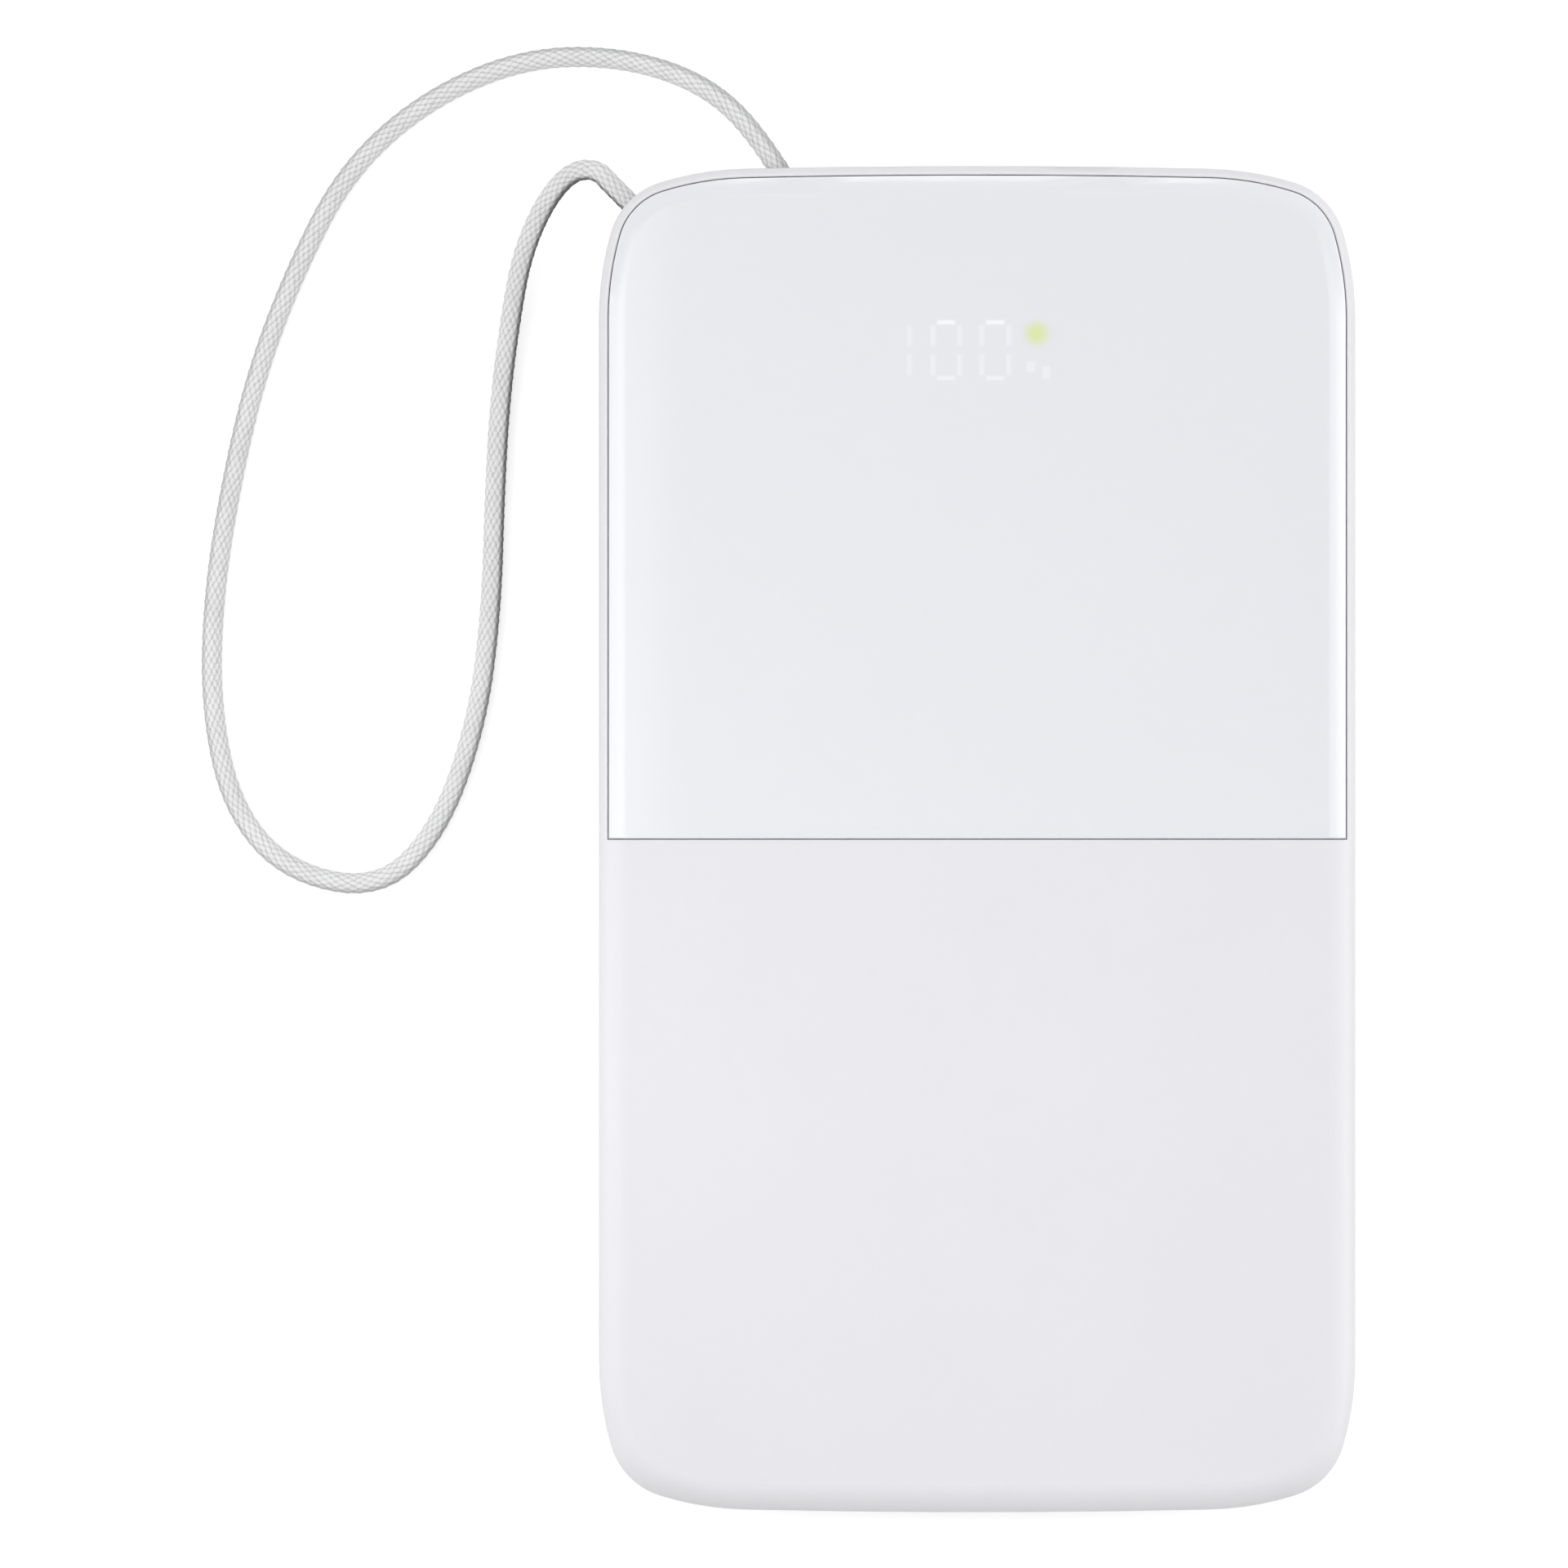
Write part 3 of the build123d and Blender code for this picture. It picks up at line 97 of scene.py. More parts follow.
# painted shade: a dark line along one side of the cord stands in for the shade on that side
SHADE_LINE_GREY = (0.10, 0.10, 0.105, 1)
SHADE_LINE_TURN = 0.93  # where the painted shade line lies around the cord, in turns
SHADE_LINE_SHIFT = 0.115  # turns that the painted shade line shifts round by where the cord rises to the corner; the cord's mesh does not twist
SHADE_SHIFT_FROM, SHADE_SHIFT_TO = 0.187, 0.203  # along the cord, where that shift happens
SHADE_FAINT_TO, SHADE_FULL_FROM = 0.115, 0.165  # along the cord, where the painted shade line goes from faint to full
SHADE_FAINT = 0.34
SHADE_EDGE_FROM, SHADE_EDGE_TO = 0.58, 0.98  # the painted shade line's soft edge, as the cosine of the turn away from it
FIBRE_CELLS = 9000.0  # per metre, as all the noise here
PATCH_CELLS = 350.0
DARKEST_FIBRE, FIBRE_TONE, PATCH_TONE = 0.80, 0.24, 0.16
FIBRE_DEPTH = 0.00003

# the route between the case's holes: across and along from the case's corner, and up from the table
cord_route = [
    (0.0096, 0.0076, 0.0066),
    (0.0017, 0.0102, 0.0033),
    (-0.0072, 0.0100, 0.0014),
    (-0.0160, 0.0061, CORD_LIE),
    (-0.0230, -0.0003, CORD_LIE),
    (-0.0275, -0.0091, CORD_LIE),
    (-0.0310, -0.0183, CORD_LIE),
    (-0.0333, -0.0282, CORD_LIE),
    (-0.0349, -0.0383, CORD_LIE),
    (-0.0352, -0.0482, CORD_LIE),
    (-0.0334, -0.0574, CORD_LIE),
    (-0.0285, -0.0634, CORD_LIE),
    (-0.0200, -0.0652, CORD_LIE),
    (-0.0145, -0.0597, CORD_LIE),
    (-0.0111, -0.0500, CORD_LIE),
    (-0.0098, -0.0397, CORD_LIE),
    (-0.0095, -0.0290, CORD_LIE),
    (-0.0090, -0.0205, 0.0011),
    (-0.0080, -0.0130, 0.0018),
    (-0.0070, -0.0077, 0.0030),
    (-0.0050, -0.0031, 0.0048),
    (-0.0026, -0.0003, 0.0067),
    (-0.0002, -0.0001, 0.0079),
]


def leaving(exit_point, slant, out):
    """A point on a hole's own line, so far out of the case, or inside it where out is negative."""
    x, y, z = exit_point
    return (x - out * sin(radians(slant)), y + out * cos(radians(slant)), z)


cord_points = [leaving(CORD_EXIT, CORD_EXIT_SLANT, out) for out in END_RUN]
cord_points += [(x - side_x, y + end_y, z) for x, y, z in cord_route]
cord_points += [leaving(CORNER_EXIT, CORNER_EXIT_SLANT, out) for out in CORNER_RUN]


def new_node(tree, kind, values=None, **settings):
    """Adds a node, sets its own settings, and gives its inputs values or links."""
    node = tree.nodes.new(kind)
    for name, value in settings.items():
        setattr(node, name, value)
    for name, value in (values or {}).items():
        if isinstance(value, bpy.types.NodeSocket):
            tree.links.new(value, node.inputs[name])
        else:
            node.inputs[name].default_value = value
    return node


def calc(tree, kind, first, second=0.0, third=0.0):
    """One Math node; numbers and sockets may be mixed."""
    values = {0: first, 1: second, 2: third}
    return new_node(tree, "ShaderNodeMath", values, operation=kind).outputs[0]


def eased(tree, value, low, high, at_low=0.0, at_high=1.0, curve="SMOOTHSTEP"):
    """Goes from one level to another as its source goes from low to high."""
    values = {"Value": value, "From Min": low, "From Max": high, "To Min": at_low, "To Max": at_high}
    return new_node(tree, "ShaderNodeMapRange", values, interpolation_type=curve).outputs["Result"]


def scaled(tree, vector, factor):
    """A vector or a colour times a number."""
    node = new_node(tree, "ShaderNodeVectorMath", {0: vector}, operation="SCALE")
    tree.links.new(factor, node.inputs["Scale"])
    return node.outputs["Vector"]


def mixed(tree, share, first, second):
    """A colour between two others."""
    values = {"Factor": share, "A": first, "B": second}
    return new_node(tree, "ShaderNodeMix", values, data_type="RGBA").outputs[2]


def noise(tree, place, cells, detail):
    """Soft noise, with so many cells to the metre."""
    values = {"Vector": place, "Scale": cells, "Detail": detail}
    return new_node(tree, "ShaderNodeTexNoise", values).outputs["Fac"]


def noted(tree, geometry, name, value):
    """Keeps a value on a mesh's points, under a name that its material reads."""
    values = {"Geometry": geometry, "Name": name, "Value": value}
    return new_node(tree, "GeometryNodeStoreNamedAttribute", values).outputs["Geometry"]


def add_sockets(tree, inputs, outputs):
    """Names a group's inputs, with their starting values, and its outputs."""
    for name, kind, value in inputs:
        socket = tree.interface.new_socket(name=name, in_out="INPUT", socket_type=kind)
        if value is not None:
            socket.default_value = value
    for name, kind in outputs:
        tree.interface.new_socket(name=name, in_out="OUTPUT", socket_type=kind)
    return tree.nodes.new("NodeGroupInput"), tree.nodes.new("NodeGroupOutput")


def braided_cord_tree():
    """Sweeps a tube along a curve and raises crossing strands out of it, over one and under one."""
    tree = bpy.data.node_groups.new("braided_cord", "GeometryNodeTree")
    tree.is_modifier = True
    inputs = [
        ("Curve", "NodeSocketGeometry", None),
        ("Diameter", "NodeSocketFloat", CORD_DIAMETER),
        ("Strands", "NodeSocketInt", BRAID_STRANDS),
        ("Pitch", "NodeSocketFloat", BRAID_PITCH),
        ("Depth", "NodeSocketFloat", BRAID_DEPTH),
        ("Ring Step", "NodeSocketFloat", BRAID_RING_STEP),
        ("Ring Points", "NodeSocketInt", BRAID_RING_POINTS),
        ("Shade Line Turn", "NodeSocketFloat", SHADE_LINE_TURN),
        ("Shade Line Shift", "NodeSocketFloat", SHADE_LINE_SHIFT),
        ("Material", "NodeSocketMaterial", None),
    ]
    start, end = add_sockets(tree, inputs, [("Mesh", "NodeSocketGeometry")])
    given = start.outputs
    stepping = {"Curve": given["Curve"], "Length": given["Ring Step"]}
    rail = new_node(tree, "GeometryNodeResampleCurve", stepping, mode="LENGTH")
    rail_at = new_node(tree, "GeometryNodeSplineParameter")
    rail_kept = new_node(tree, "GeometryNodeCaptureAttribute", {"Geometry": rail.outputs["Curve"]})
    rail_kept.capture_items.new("FLOAT", "Along")
    tree.links.new(rail_at.outputs["Length"], rail_kept.inputs["Along"])
    radius = calc(tree, "SUBTRACT", calc(tree, "MULTIPLY", given["Diameter"], 0.5), given["Depth"])
    round_ring = {"Resolution": given["Ring Points"], "Radius": radius}
    ring = new_node(tree, "GeometryNodeCurvePrimitiveCircle", round_ring)
    ring_kept = new_node(tree, "GeometryNodeCaptureAttribute", {"Geometry": ring.outputs["Curve"]})
    ring_kept.capture_items.new("FLOAT", "Around")
    ring_at = new_node(tree, "GeometryNodeSplineParameter")
    tree.links.new(ring_at.outputs["Factor"], ring_kept.inputs["Around"])
    sweep = {
        "Curve": rail_kept.outputs["Geometry"],
        "Profile Curve": ring_kept.outputs["Geometry"],
        "Fill Caps": True,
    }
    tube = new_node(tree, "GeometryNodeCurveToMesh", sweep)
    around = calc(tree, "MULTIPLY", ring_kept.outputs["Around"], given["Strands"])
    along = calc(tree, "DIVIDE", rail_kept.outputs["Along"], given["Pitch"])
    right_hand = calc(tree, "ADD", around, along)
    left_hand = calc(tree, "SUBTRACT", around, along)
    both = calc(tree, "ADD", calc(tree, "FLOOR", right_hand), calc(tree, "FLOOR", left_hand))
    which = calc(tree, "FLOORED_MODULO", both, 2.0)
    across_right = calc(tree, "SINE", calc(tree, "MULTIPLY", calc(tree, "FRACT", right_hand), pi))
    across_left = calc(tree, "SINE", calc(tree, "MULTIPLY", calc(tree, "FRACT", left_hand), pi))
    crowns = []
    for across, other in ((across_right, across_left), (across_left, across_right)):
        rounded = calc(tree, "POWER", across, STRAND_ROUNDNESS)
        dipped = calc(tree, "MULTIPLY_ADD", other, STRAND_DIP, 1.0 - STRAND_DIP)
        crowns.append(calc(tree, "MULTIPLY", rounded, dipped))
    on_top = {"Factor": which, "A": crowns[0], "B": crowns[1]}
    relief = new_node(tree, "ShaderNodeMix", on_top, data_type="FLOAT").outputs["Result"]
    outward = new_node(tree, "GeometryNodeInputNormal").outputs[0]
    lift = scaled(tree, outward, calc(tree, "MULTIPLY", relief, given["Depth"]))
    # where the painted shade line lies around the cord, shifted round where the cord rises to the corner
    risen = eased(tree, rail_kept.outputs["Along"], SHADE_SHIFT_FROM, SHADE_SHIFT_TO)
    past = calc(tree, "SUBTRACT", ring_kept.outputs["Around"], given["Shade Line Turn"])
    turns = calc(tree, "MULTIPLY_ADD", risen, given["Shade Line Shift"], past)
    shade_facing = calc(tree, "COSINE", calc(tree, "MULTIPLY", turns, 2 * pi))
    mesh = noted(tree, tube.outputs["Mesh"], "relief", relief)
    mesh = noted(tree, mesh, "facing_shade_line", shade_facing)
    mesh = noted(tree, mesh, "along", rail_kept.outputs["Along"])
    raised = new_node(tree, "GeometryNodeSetPosition", {"Geometry": mesh, "Offset": lift})
    smooth = new_node(tree, "GeometryNodeSetShadeSmooth", {"Geometry": raised.outputs["Geometry"]})
    whole = new_node(tree, "GeometryNodeRealizeInstances", {"Geometry": smooth.outputs["Geometry"]})
    dyed = {"Geometry": whole.outputs["Geometry"], "Material": given["Material"]}
    done = new_node(tree, "GeometryNodeSetMaterial", dyed)
    tree.links.new(done.outputs["Geometry"], end.inputs["Mesh"])
    return tree


def braid_material():
    """Matt polyester: pale crowns, painted shade in the gaps, fine fibres, and a painted shade line
    along one side.
    """
    material = bpy.data.materials.new("braided_polyester")
    material.use_nodes = True
    tree = material.node_tree
    shader = tree.nodes["Principled BSDF"]
    relief, shade_facing, along = (
        new_node(tree, "ShaderNodeAttribute", attribute_name=name).outputs["Fac"]
        for name in ("relief", "facing_shade_line", "along")
    )
    place = new_node(tree, "ShaderNodeTexCoord").outputs["Object"]
    fibres = noise(tree, place, FIBRE_CELLS, 3.0)
    patches = noise(tree, place, PATCH_CELLS, 2.0)
    # painted shade: darker where the strands go under, where shade falls between them
    crown = eased(tree, relief, GAP_TO, CROWN_FROM, curve="LINEAR")
    tone = mixed(tree, crown, CORD_GAP_SHADE, CORD_GREY)
    # painted shade: a dark line along one side of the cord, faint near the end hole
    shade_band = eased(tree, shade_facing, SHADE_EDGE_FROM, SHADE_EDGE_TO)
    shade_strength = eased(tree, along, SHADE_FAINT_TO, SHADE_FULL_FROM, SHADE_FAINT)
    shaded_tone = mixed(tree, calc(tree, "MULTIPLY", shade_band, shade_strength), tone, SHADE_LINE_GREY)
    worn = calc(tree, "MULTIPLY", patches, PATCH_TONE)
    shade = calc(tree, "ADD", calc(tree, "MULTIPLY_ADD", fibres, FIBRE_TONE, DARKEST_FIBRE), worn)
    tree.links.new(scaled(tree, shaded_tone, shade), shader.inputs["Base Color"])
    bump = new_node(tree, "ShaderNodeBump", {"Height": fibres, "Strength": 0.5, "Distance": FIBRE_DEPTH})
    tree.links.new(bump.outputs["Normal"], shader.inputs["Normal"])
    tree.links.new(calc(tree, "MULTIPLY_ADD", fibres, 0.2, 0.7), shader.inputs["Roughness"])
    shader.inputs["Sheen Weight"].default_value = 0.25
    shader.inputs["Sheen Roughness"].default_value = 0.5
    return material


def swept_piece(name, curve_object, tree, values):
    """Runs a Geometry Nodes tree on an object and keeps the result as a plain mesh piece."""
    modifier = curve_object.modifiers.new(name, "NODES")
    modifier.node_group = tree
    for item in tree.interface.items_tree:
        if item.in_out == "INPUT" and item.name in values:
            modifier[item.identifier] = values[item.name]
    bpy.context.view_layer.update()
    evaluated = curve_object.evaluated_get(bpy.context.evaluated_depsgraph_get())
    mesh = bpy.data.meshes.new_from_object(evaluated)
    piece = bpy.data.objects.new(name, mesh)
    bpy.context.scene.collection.objects.link(piece)
    curve_object.modifiers.remove(modifier)
    return piece


route_curve = bpy.data.curves.new("lanyard_route", "CURVE")
route_curve.dimensions = "3D"
route_curve.resolution_u = 16
spline = route_curve.splines.new("NURBS")
spline.points.add(len(cord_points) - 1)
for point, place in zip(spline.points, cord_points):
    point.co = (*place, 1.0)
spline.order_u = 3
spline.use_endpoint_u = True
route = bpy.data.objects.new("lanyard_route", route_curve)
bpy.context.scene.collection.objects.link(route)
bpy.context.view_layer.update()
route_line = route.to_mesh()
route.to_mesh_clear()
braid = braid_material()
cord = swept_piece("lanyard_cord_braid", route, braided_cord_tree(), {"Material": braid})
bpy.data.objects.remove(route)
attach(cord, "case")
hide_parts("lanyard_cord")

# ---- Case shells -----------------------------------------------------------------------------------
# Two white shells moulded in ABS with a fine spark-eroded texture. They snap together on a lip at mid
# height, and two screws under the panel hold them.

SHELL_WHITE = (0.780, 0.772, 0.795, 1)
SHELL_LIGHT_REACH = 0.0005
GRAIN_SIZE = 0.00022
CLOUD_CELLS = 60.0
FINISH_OUTPUTS = [
    ("Color", "NodeSocketColor"),
    ("Roughness", "NodeSocketFloat"),
    ("Normal", "NodeSocketVector"),
]


def grain_group():
    """Fine moulded texture: tiny pits, slow changes of tone and a little unevenness in the sheen."""
    tree = bpy.data.node_groups.new("moulded_grain", "ShaderNodeTree")
    inputs = [
        ("Vector", "NodeSocketVector", None),
        ("Color", "NodeSocketColor", (0.8, 0.8, 0.8, 1)),
        ("Grain Size", "NodeSocketFloat", GRAIN_SIZE),
        ("Depth", "NodeSocketFloat", 0.00001),
        ("Mottle", "NodeSocketFloat", 0.03),
        ("Roughness", "NodeSocketFloat", 0.5),
        ("Spread", "NodeSocketFloat", 0.1),
    ]
    start, end = add_sockets(tree, inputs, FINISH_OUTPUTS)
    given = start.outputs
    fineness = calc(tree, "DIVIDE", 1.0, given["Grain Size"])
    pits = noise(tree, given["Vector"], fineness, 2.0)
    cloud = noise(tree, given["Vector"], CLOUD_CELLS, 4.0)
    pitted = calc(tree, "SUBTRACT", pits, 0.5)
    uneven = calc(tree, "MULTIPLY", calc(tree, "SUBTRACT", cloud, 0.5), given["Mottle"])
    speck = calc(tree, "MULTIPLY", pitted, calc(tree, "MULTIPLY", given["Mottle"], 0.6))
    tone = calc(tree, "ADD", 1.0, calc(tree, "ADD", uneven, speck))
    tree.links.new(scaled(tree, given["Color"], tone), end.inputs["Color"])
    sheen = calc(tree, "MULTIPLY_ADD", pitted, given["Spread"], given["Roughness"])
    tree.links.new(sheen, end.inputs["Roughness"])
    carved = {"Height": pits, "Strength": 1.0, "Distance": given["Depth"]}
    bump = new_node(tree, "ShaderNodeBump", carved)
    tree.links.new(bump.outputs["Normal"], end.inputs["Normal"])
    return tree


moulded_grain = grain_group()


def finished(name, group, values):
    """A material whose colour, roughness and normal come from a group with its own values."""
    material = bpy.data.materials.new(name)
    material.use_nodes = True
    tree = material.node_tree
    shader = tree.nodes["Principled BSDF"]
    place = new_node(tree, "ShaderNodeTexCoord").outputs["Object"]
    look = new_node(tree, "ShaderNodeGroup", {"Vector": place, **values}, node_tree=group)
    tree.links.new(look.outputs["Color"], shader.inputs["Base Color"])
    tree.links.new(look.outputs["Roughness"], shader.inputs["Roughness"])
    tree.links.new(look.outputs["Normal"], shader.inputs["Normal"])
    return material


def moulded(name, color, roughness=0.5, size=GRAIN_SIZE, depth=0.00001, mottle=0.03, spread=0.1):
    """A moulded plastic, rubber or resin."""
    values = {
        "Color": color,
        "Grain Size": size,
        "Depth": depth,
        "Mottle": mottle,
        "Roughness": roughness,
        "Spread": spread,
    }
    return finished(name, moulded_grain, values)


def dress(material, *names):
    """Gives CAD nodes a material in every slot."""
    for name in names:
        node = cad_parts[name]
        if not node.material_slots:
            node.data.materials.append(material)
        for slot in node.material_slots:
            slot.material = material


def see_into(material, reach):
    """Lets light travel a little way through a white plastic, which keeps its seams pale."""
    shader = material.node_tree.nodes["Principled BSDF"]
    shader.inputs["Subsurface Weight"].default_value = 1.0
    shader.inputs["Subsurface Radius"].default_value = (1.0, 1.0, 1.0)
    shader.inputs["Subsurface Scale"].default_value = reach
    return material


shell_plastic = moulded("textured_white_abs", SHELL_WHITE, roughness=0.42, depth=0.000004)
dress(see_into(shell_plastic, SHELL_LIGHT_REACH), "front_shell", "back_shell")

# ---- Display panel ---------------------------------------------------------------------------------
# A polished white polycarbonate panel, taped into a step in the front shell. It is thin enough over the
# display for the lit bars and the charging lamp to glow through.

PANEL_WHITE = (0.778, 0.793, 0.822, 1)
GLOW_WHITE = (0.96, 0.97, 1.0, 1)
LAMP_GLOW = (0.70, 0.76, 0.42, 1)
LIT_BARS = (0.10, 0.10, 0.11)
LIT_LAMP = (0.02, 0.03, 0.0)
PANEL_IOR = 1.7
DISPLAY_Y = 0.0439
BEND_WIDTH = 0.0090
BEND_DROP = 0.00045
ONE_X = -0.0061
ZEROS_X = (-0.0028, 0.0016)
BAR_X = 0.0012
UPRIGHT_Y = 0.00132
# how far each level bar is from the display's middle, and its strength
LEVEL_BARS = [(0.0025, 0.45), (-0.0025, 0.28)]
ONE_GLOW, UPRIGHT_GLOW = 0.16, 0.18
UPRIGHT_HALVES = (0.00018, 0.00088)
LEVEL_HALVES = (0.00075, 0.00013)
# where the percent sign's two blots are, half their sizes, and how strong they are
PERCENT_BLOTS = [((0.0048, 0.0424), (0.0003, 0.0004), 0.2), ((0.0062, 0.0419), (0.0003, 0.0005), 0.18)]
LAMP_AT = (0.0053, 0.0454)
LAMP_CORE, LAMP_HALO = 0.0002, 0.0016


def glow_bar_group():
    """A soft-edged bar of light, repeated on both sides of its centre in X and in Y."""
    tree = bpy.data.node_groups.new("glow_bars", "ShaderNodeTree")
    inputs = [
        ("Vector", "NodeSocketVector", None),
        ("Centre", "NodeSocketVector", (0, 0, 0)),
        ("Apart X", "NodeSocketFloat", 0.0),
        ("Apart Y", "NodeSocketFloat", 0.0),
        ("Half X", "NodeSocketFloat", 0.0002),
        ("Half Y", "NodeSocketFloat", 0.0008),
        ("Blur", "NodeSocketFloat", 0.0002),
    ]
    start, end = add_sockets(tree, inputs, [("Mask", "NodeSocketFloat")])
    given = start.outputs
    ends = {0: given["Vector"], 1: given["Centre"]}
    offset = new_node(tree, "ShaderNodeVectorMath", ends, operation="SUBTRACT")
    split = new_node(tree, "ShaderNodeSeparateXYZ", {"Vector": offset.outputs["Vector"]})
    reach = []
    for axis in ("X", "Y"):
        folded = calc(tree, "ABSOLUTE", split.outputs[axis])
        folded = calc(tree, "ABSOLUTE", calc(tree, "SUBTRACT", folded, given["Apart " + axis]))
        reach.append(calc(tree, "SUBTRACT", folded, given["Half " + axis]))
    outside = calc(tree, "MAXIMUM", reach[0], reach[1])
    inner = calc(tree, "MULTIPLY", given["Blur"], -0.5)
    tree.links.new(eased(tree, outside, inner, given["Blur"], 1.0, 0.0), end.inputs["Mask"])
    return tree


glow_bars = glow_bar_group()


def glow(tree, place, centre, apart, half, strength):
    """One use of the glow group, at its own strength."""
    values = {"Vector": place, "Centre": (*centre, 0.0)}
    values["Apart X"], values["Apart Y"] = apart
    values["Half X"], values["Half Y"] = half
    node = new_node(tree, "ShaderNodeGroup", values, node_tree=glow_bars)
    return calc(tree, "MULTIPLY", node.outputs["Mask"], strength)


def edge_bend(tree, place):
    """The panel's face falls away a little towards its long sides: its height, as a cubic curve."""
    across = new_node(tree, "ShaderNodeSeparateXYZ", {"Vector": place}).outputs["X"]
    near_side = calc(tree, "SUBTRACT", calc(tree, "ABSOLUTE", across), side_x - BEND_WIDTH)
    share = calc(tree, "DIVIDE", calc(tree, "MAXIMUM", near_side, 0.0), BEND_WIDTH)
    return calc(tree, "MULTIPLY", calc(tree, "POWER", share, 3.0), -BEND_DROP)


def panel_material():
    """Polished plastic with the lit numerals and lamp showing faintly through it."""
    polish = {"roughness": 0.2, "size": 0.004, "depth": 0.0000004, "mottle": 0.006, "spread": 0.02}
    material = moulded("polished_white_pc", PANEL_WHITE, **polish)
    tree = material.node_tree
    shader = tree.nodes["Principled BSDF"]
    place = new_node(tree, "ShaderNodeTexCoord").outputs["Object"]
    lights = [glow(tree, place, (ONE_X, DISPLAY_Y), (0.0, UPRIGHT_Y), UPRIGHT_HALVES, ONE_GLOW)]
    for x in ZEROS_X:
        apart = (BAR_X, UPRIGHT_Y)
        lights.append(glow(tree, place, (x, DISPLAY_Y), apart, UPRIGHT_HALVES, UPRIGHT_GLOW))
        for rise, strength in LEVEL_BARS:
            lights.append(glow(tree, place, (x, DISPLAY_Y + rise), (0.0, 0.0), LEVEL_HALVES, strength))
    for centre, half, strength in PERCENT_BLOTS:
        lights.append(glow(tree, place, centre, (0.0, 0.0), half, strength))
    mask = lights[0]
    for light in lights[1:]:
        mask = calc(tree, "MAXIMUM", mask, light)
    from_lamp = {0: place, 1: (*LAMP_AT, case_height)}
    away = new_node(tree, "ShaderNodeVectorMath", from_lamp, operation="DISTANCE").outputs["Value"]
    lamp = eased(tree, away, LAMP_CORE, LAMP_HALO, 1.0, 0.0)
    base = shader.inputs["Base Color"].links[0].from_socket
    tinted = mixed(tree, lamp, mixed(tree, mask, base, GLOW_WHITE), LAMP_GLOW)
    tree.links.new(tinted, shader.inputs["Base Color"])
    shining = {0: scaled(tree, LIT_BARS, mask), 1: scaled(tree, LIT_LAMP, lamp)}
    both = new_node(tree, "ShaderNodeVectorMath", shining, operation="ADD")
    tree.links.new(both.outputs["Vector"], shader.inputs["Emission Color"])
    shader.inputs["Emission Strength"].default_value = 1.0
    shader.inputs["IOR"].default_value = PANEL_IOR
    face = {"Height": edge_bend(tree, place), "Strength": 1.0, "Distance": 1.0}
    bend = new_node(tree, "ShaderNodeBump", face)
    tree.links.new(shader.inputs["Normal"].links[0].from_socket, bend.inputs["Normal"])
    tree.links.new(bend.outputs["Normal"], shader.inputs["Normal"])
    return see_into(material, SHELL_LIGHT_REACH)


dress(panel_material(), "display_cover")
dress(moulded("tape_film", (0.62, 0.61, 0.56, 1), roughness=0.3, mottle=0.08), "cover_adhesive")

# ---- Side key --------------------------------------------------------------------------------------
# A racetrack cap moulded in the same white plastic as the case. It sits flush in the right side and a
# flange keeps it in.

KEY_WHITE = (0.745, 0.737, 0.757, 1)

dress(moulded("key_white_abs", KEY_WHITE, roughness=0.36, depth=0.000003), "power_button")

# ---- Sockets ---------------------------------------------------------------------------------------
# Type A and type C sockets, soldered to the board. Their shells are nickel-plated steel sheet, their
# tongues nylon, and the contacts gold-plated.

STREAKS = (6000, 400, 6000)  # how fine the drawn streaks are along each axis
STAIN_CELLS = 500.0
DARKEST_METAL, STREAK_TONE, STAIN_TONE = 0.86, 0.12, 0.16
STREAK_DEPTH = 0.000004


def rolled_metal_group():
    """Sheet or turned metal: fine drawn streaks along one axis, and soft stains in the shine."""
    tree = bpy.data.node_groups.new("rolled_metal", "ShaderNodeTree")
    inputs = [
        ("Vector", "NodeSocketVector", None),
        ("Color", "NodeSocketColor", (0.6, 0.6, 0.6, 1)),
        ("Streak Scale", "NodeSocketVector", STREAKS),
        ("Roughness", "NodeSocketFloat", 0.3),
        ("Spread", "NodeSocketFloat", 0.2),
    ]
    start, end = add_sockets(tree, inputs, FINISH_OUTPUTS)
    given = start.outputs
    stretch = {0: given["Vector"], 1: given["Streak Scale"]}
    drawn = new_node(tree, "ShaderNodeVectorMath", stretch, operation="MULTIPLY")
    streaks = noise(tree, drawn.outputs["Vector"], 1.0, 3.0)
    stains = noise(tree, given["Vector"], STAIN_CELLS, 3.0)
    stained = calc(tree, "MULTIPLY", stains, STAIN_TONE)
    streaked = calc(tree, "MULTIPLY_ADD", streaks, STREAK_TONE, DARKEST_METAL)
    tone = calc(tree, "ADD", streaked, stained)
    tree.links.new(scaled(tree, given["Color"], tone), end.inputs["Color"])
    both = calc(tree, "MULTIPLY_ADD", streaks, 0.5, calc(tree, "MULTIPLY", stains, 0.5))
    uneven = calc(tree, "SUBTRACT", both, 0.5)
    sheen = calc(tree, "MULTIPLY_ADD", uneven, given["Spread"], given["Roughness"])
    tree.links.new(sheen, end.inputs["Roughness"])
    ridges = {"Height": streaks, "Strength": 0.4, "Distance": STREAK_DEPTH}
    bump = new_node(tree, "ShaderNodeBump", ridges)
    tree.links.new(bump.outputs["Normal"], end.inputs["Normal"])
    return tree


rolled_metal = rolled_metal_group()


def metal(name, color, roughness=0.3, spread=0.2, streak=STREAKS):
    """A bare or plated metal."""
    values = {"Color": color, "Streak Scale": streak, "Roughness": roughness, "Spread": spread}
    material = finished(name, rolled_metal, values)
    material.node_tree.nodes["Principled BSDF"].inputs["Metallic"].default_value = 1.0
    return material


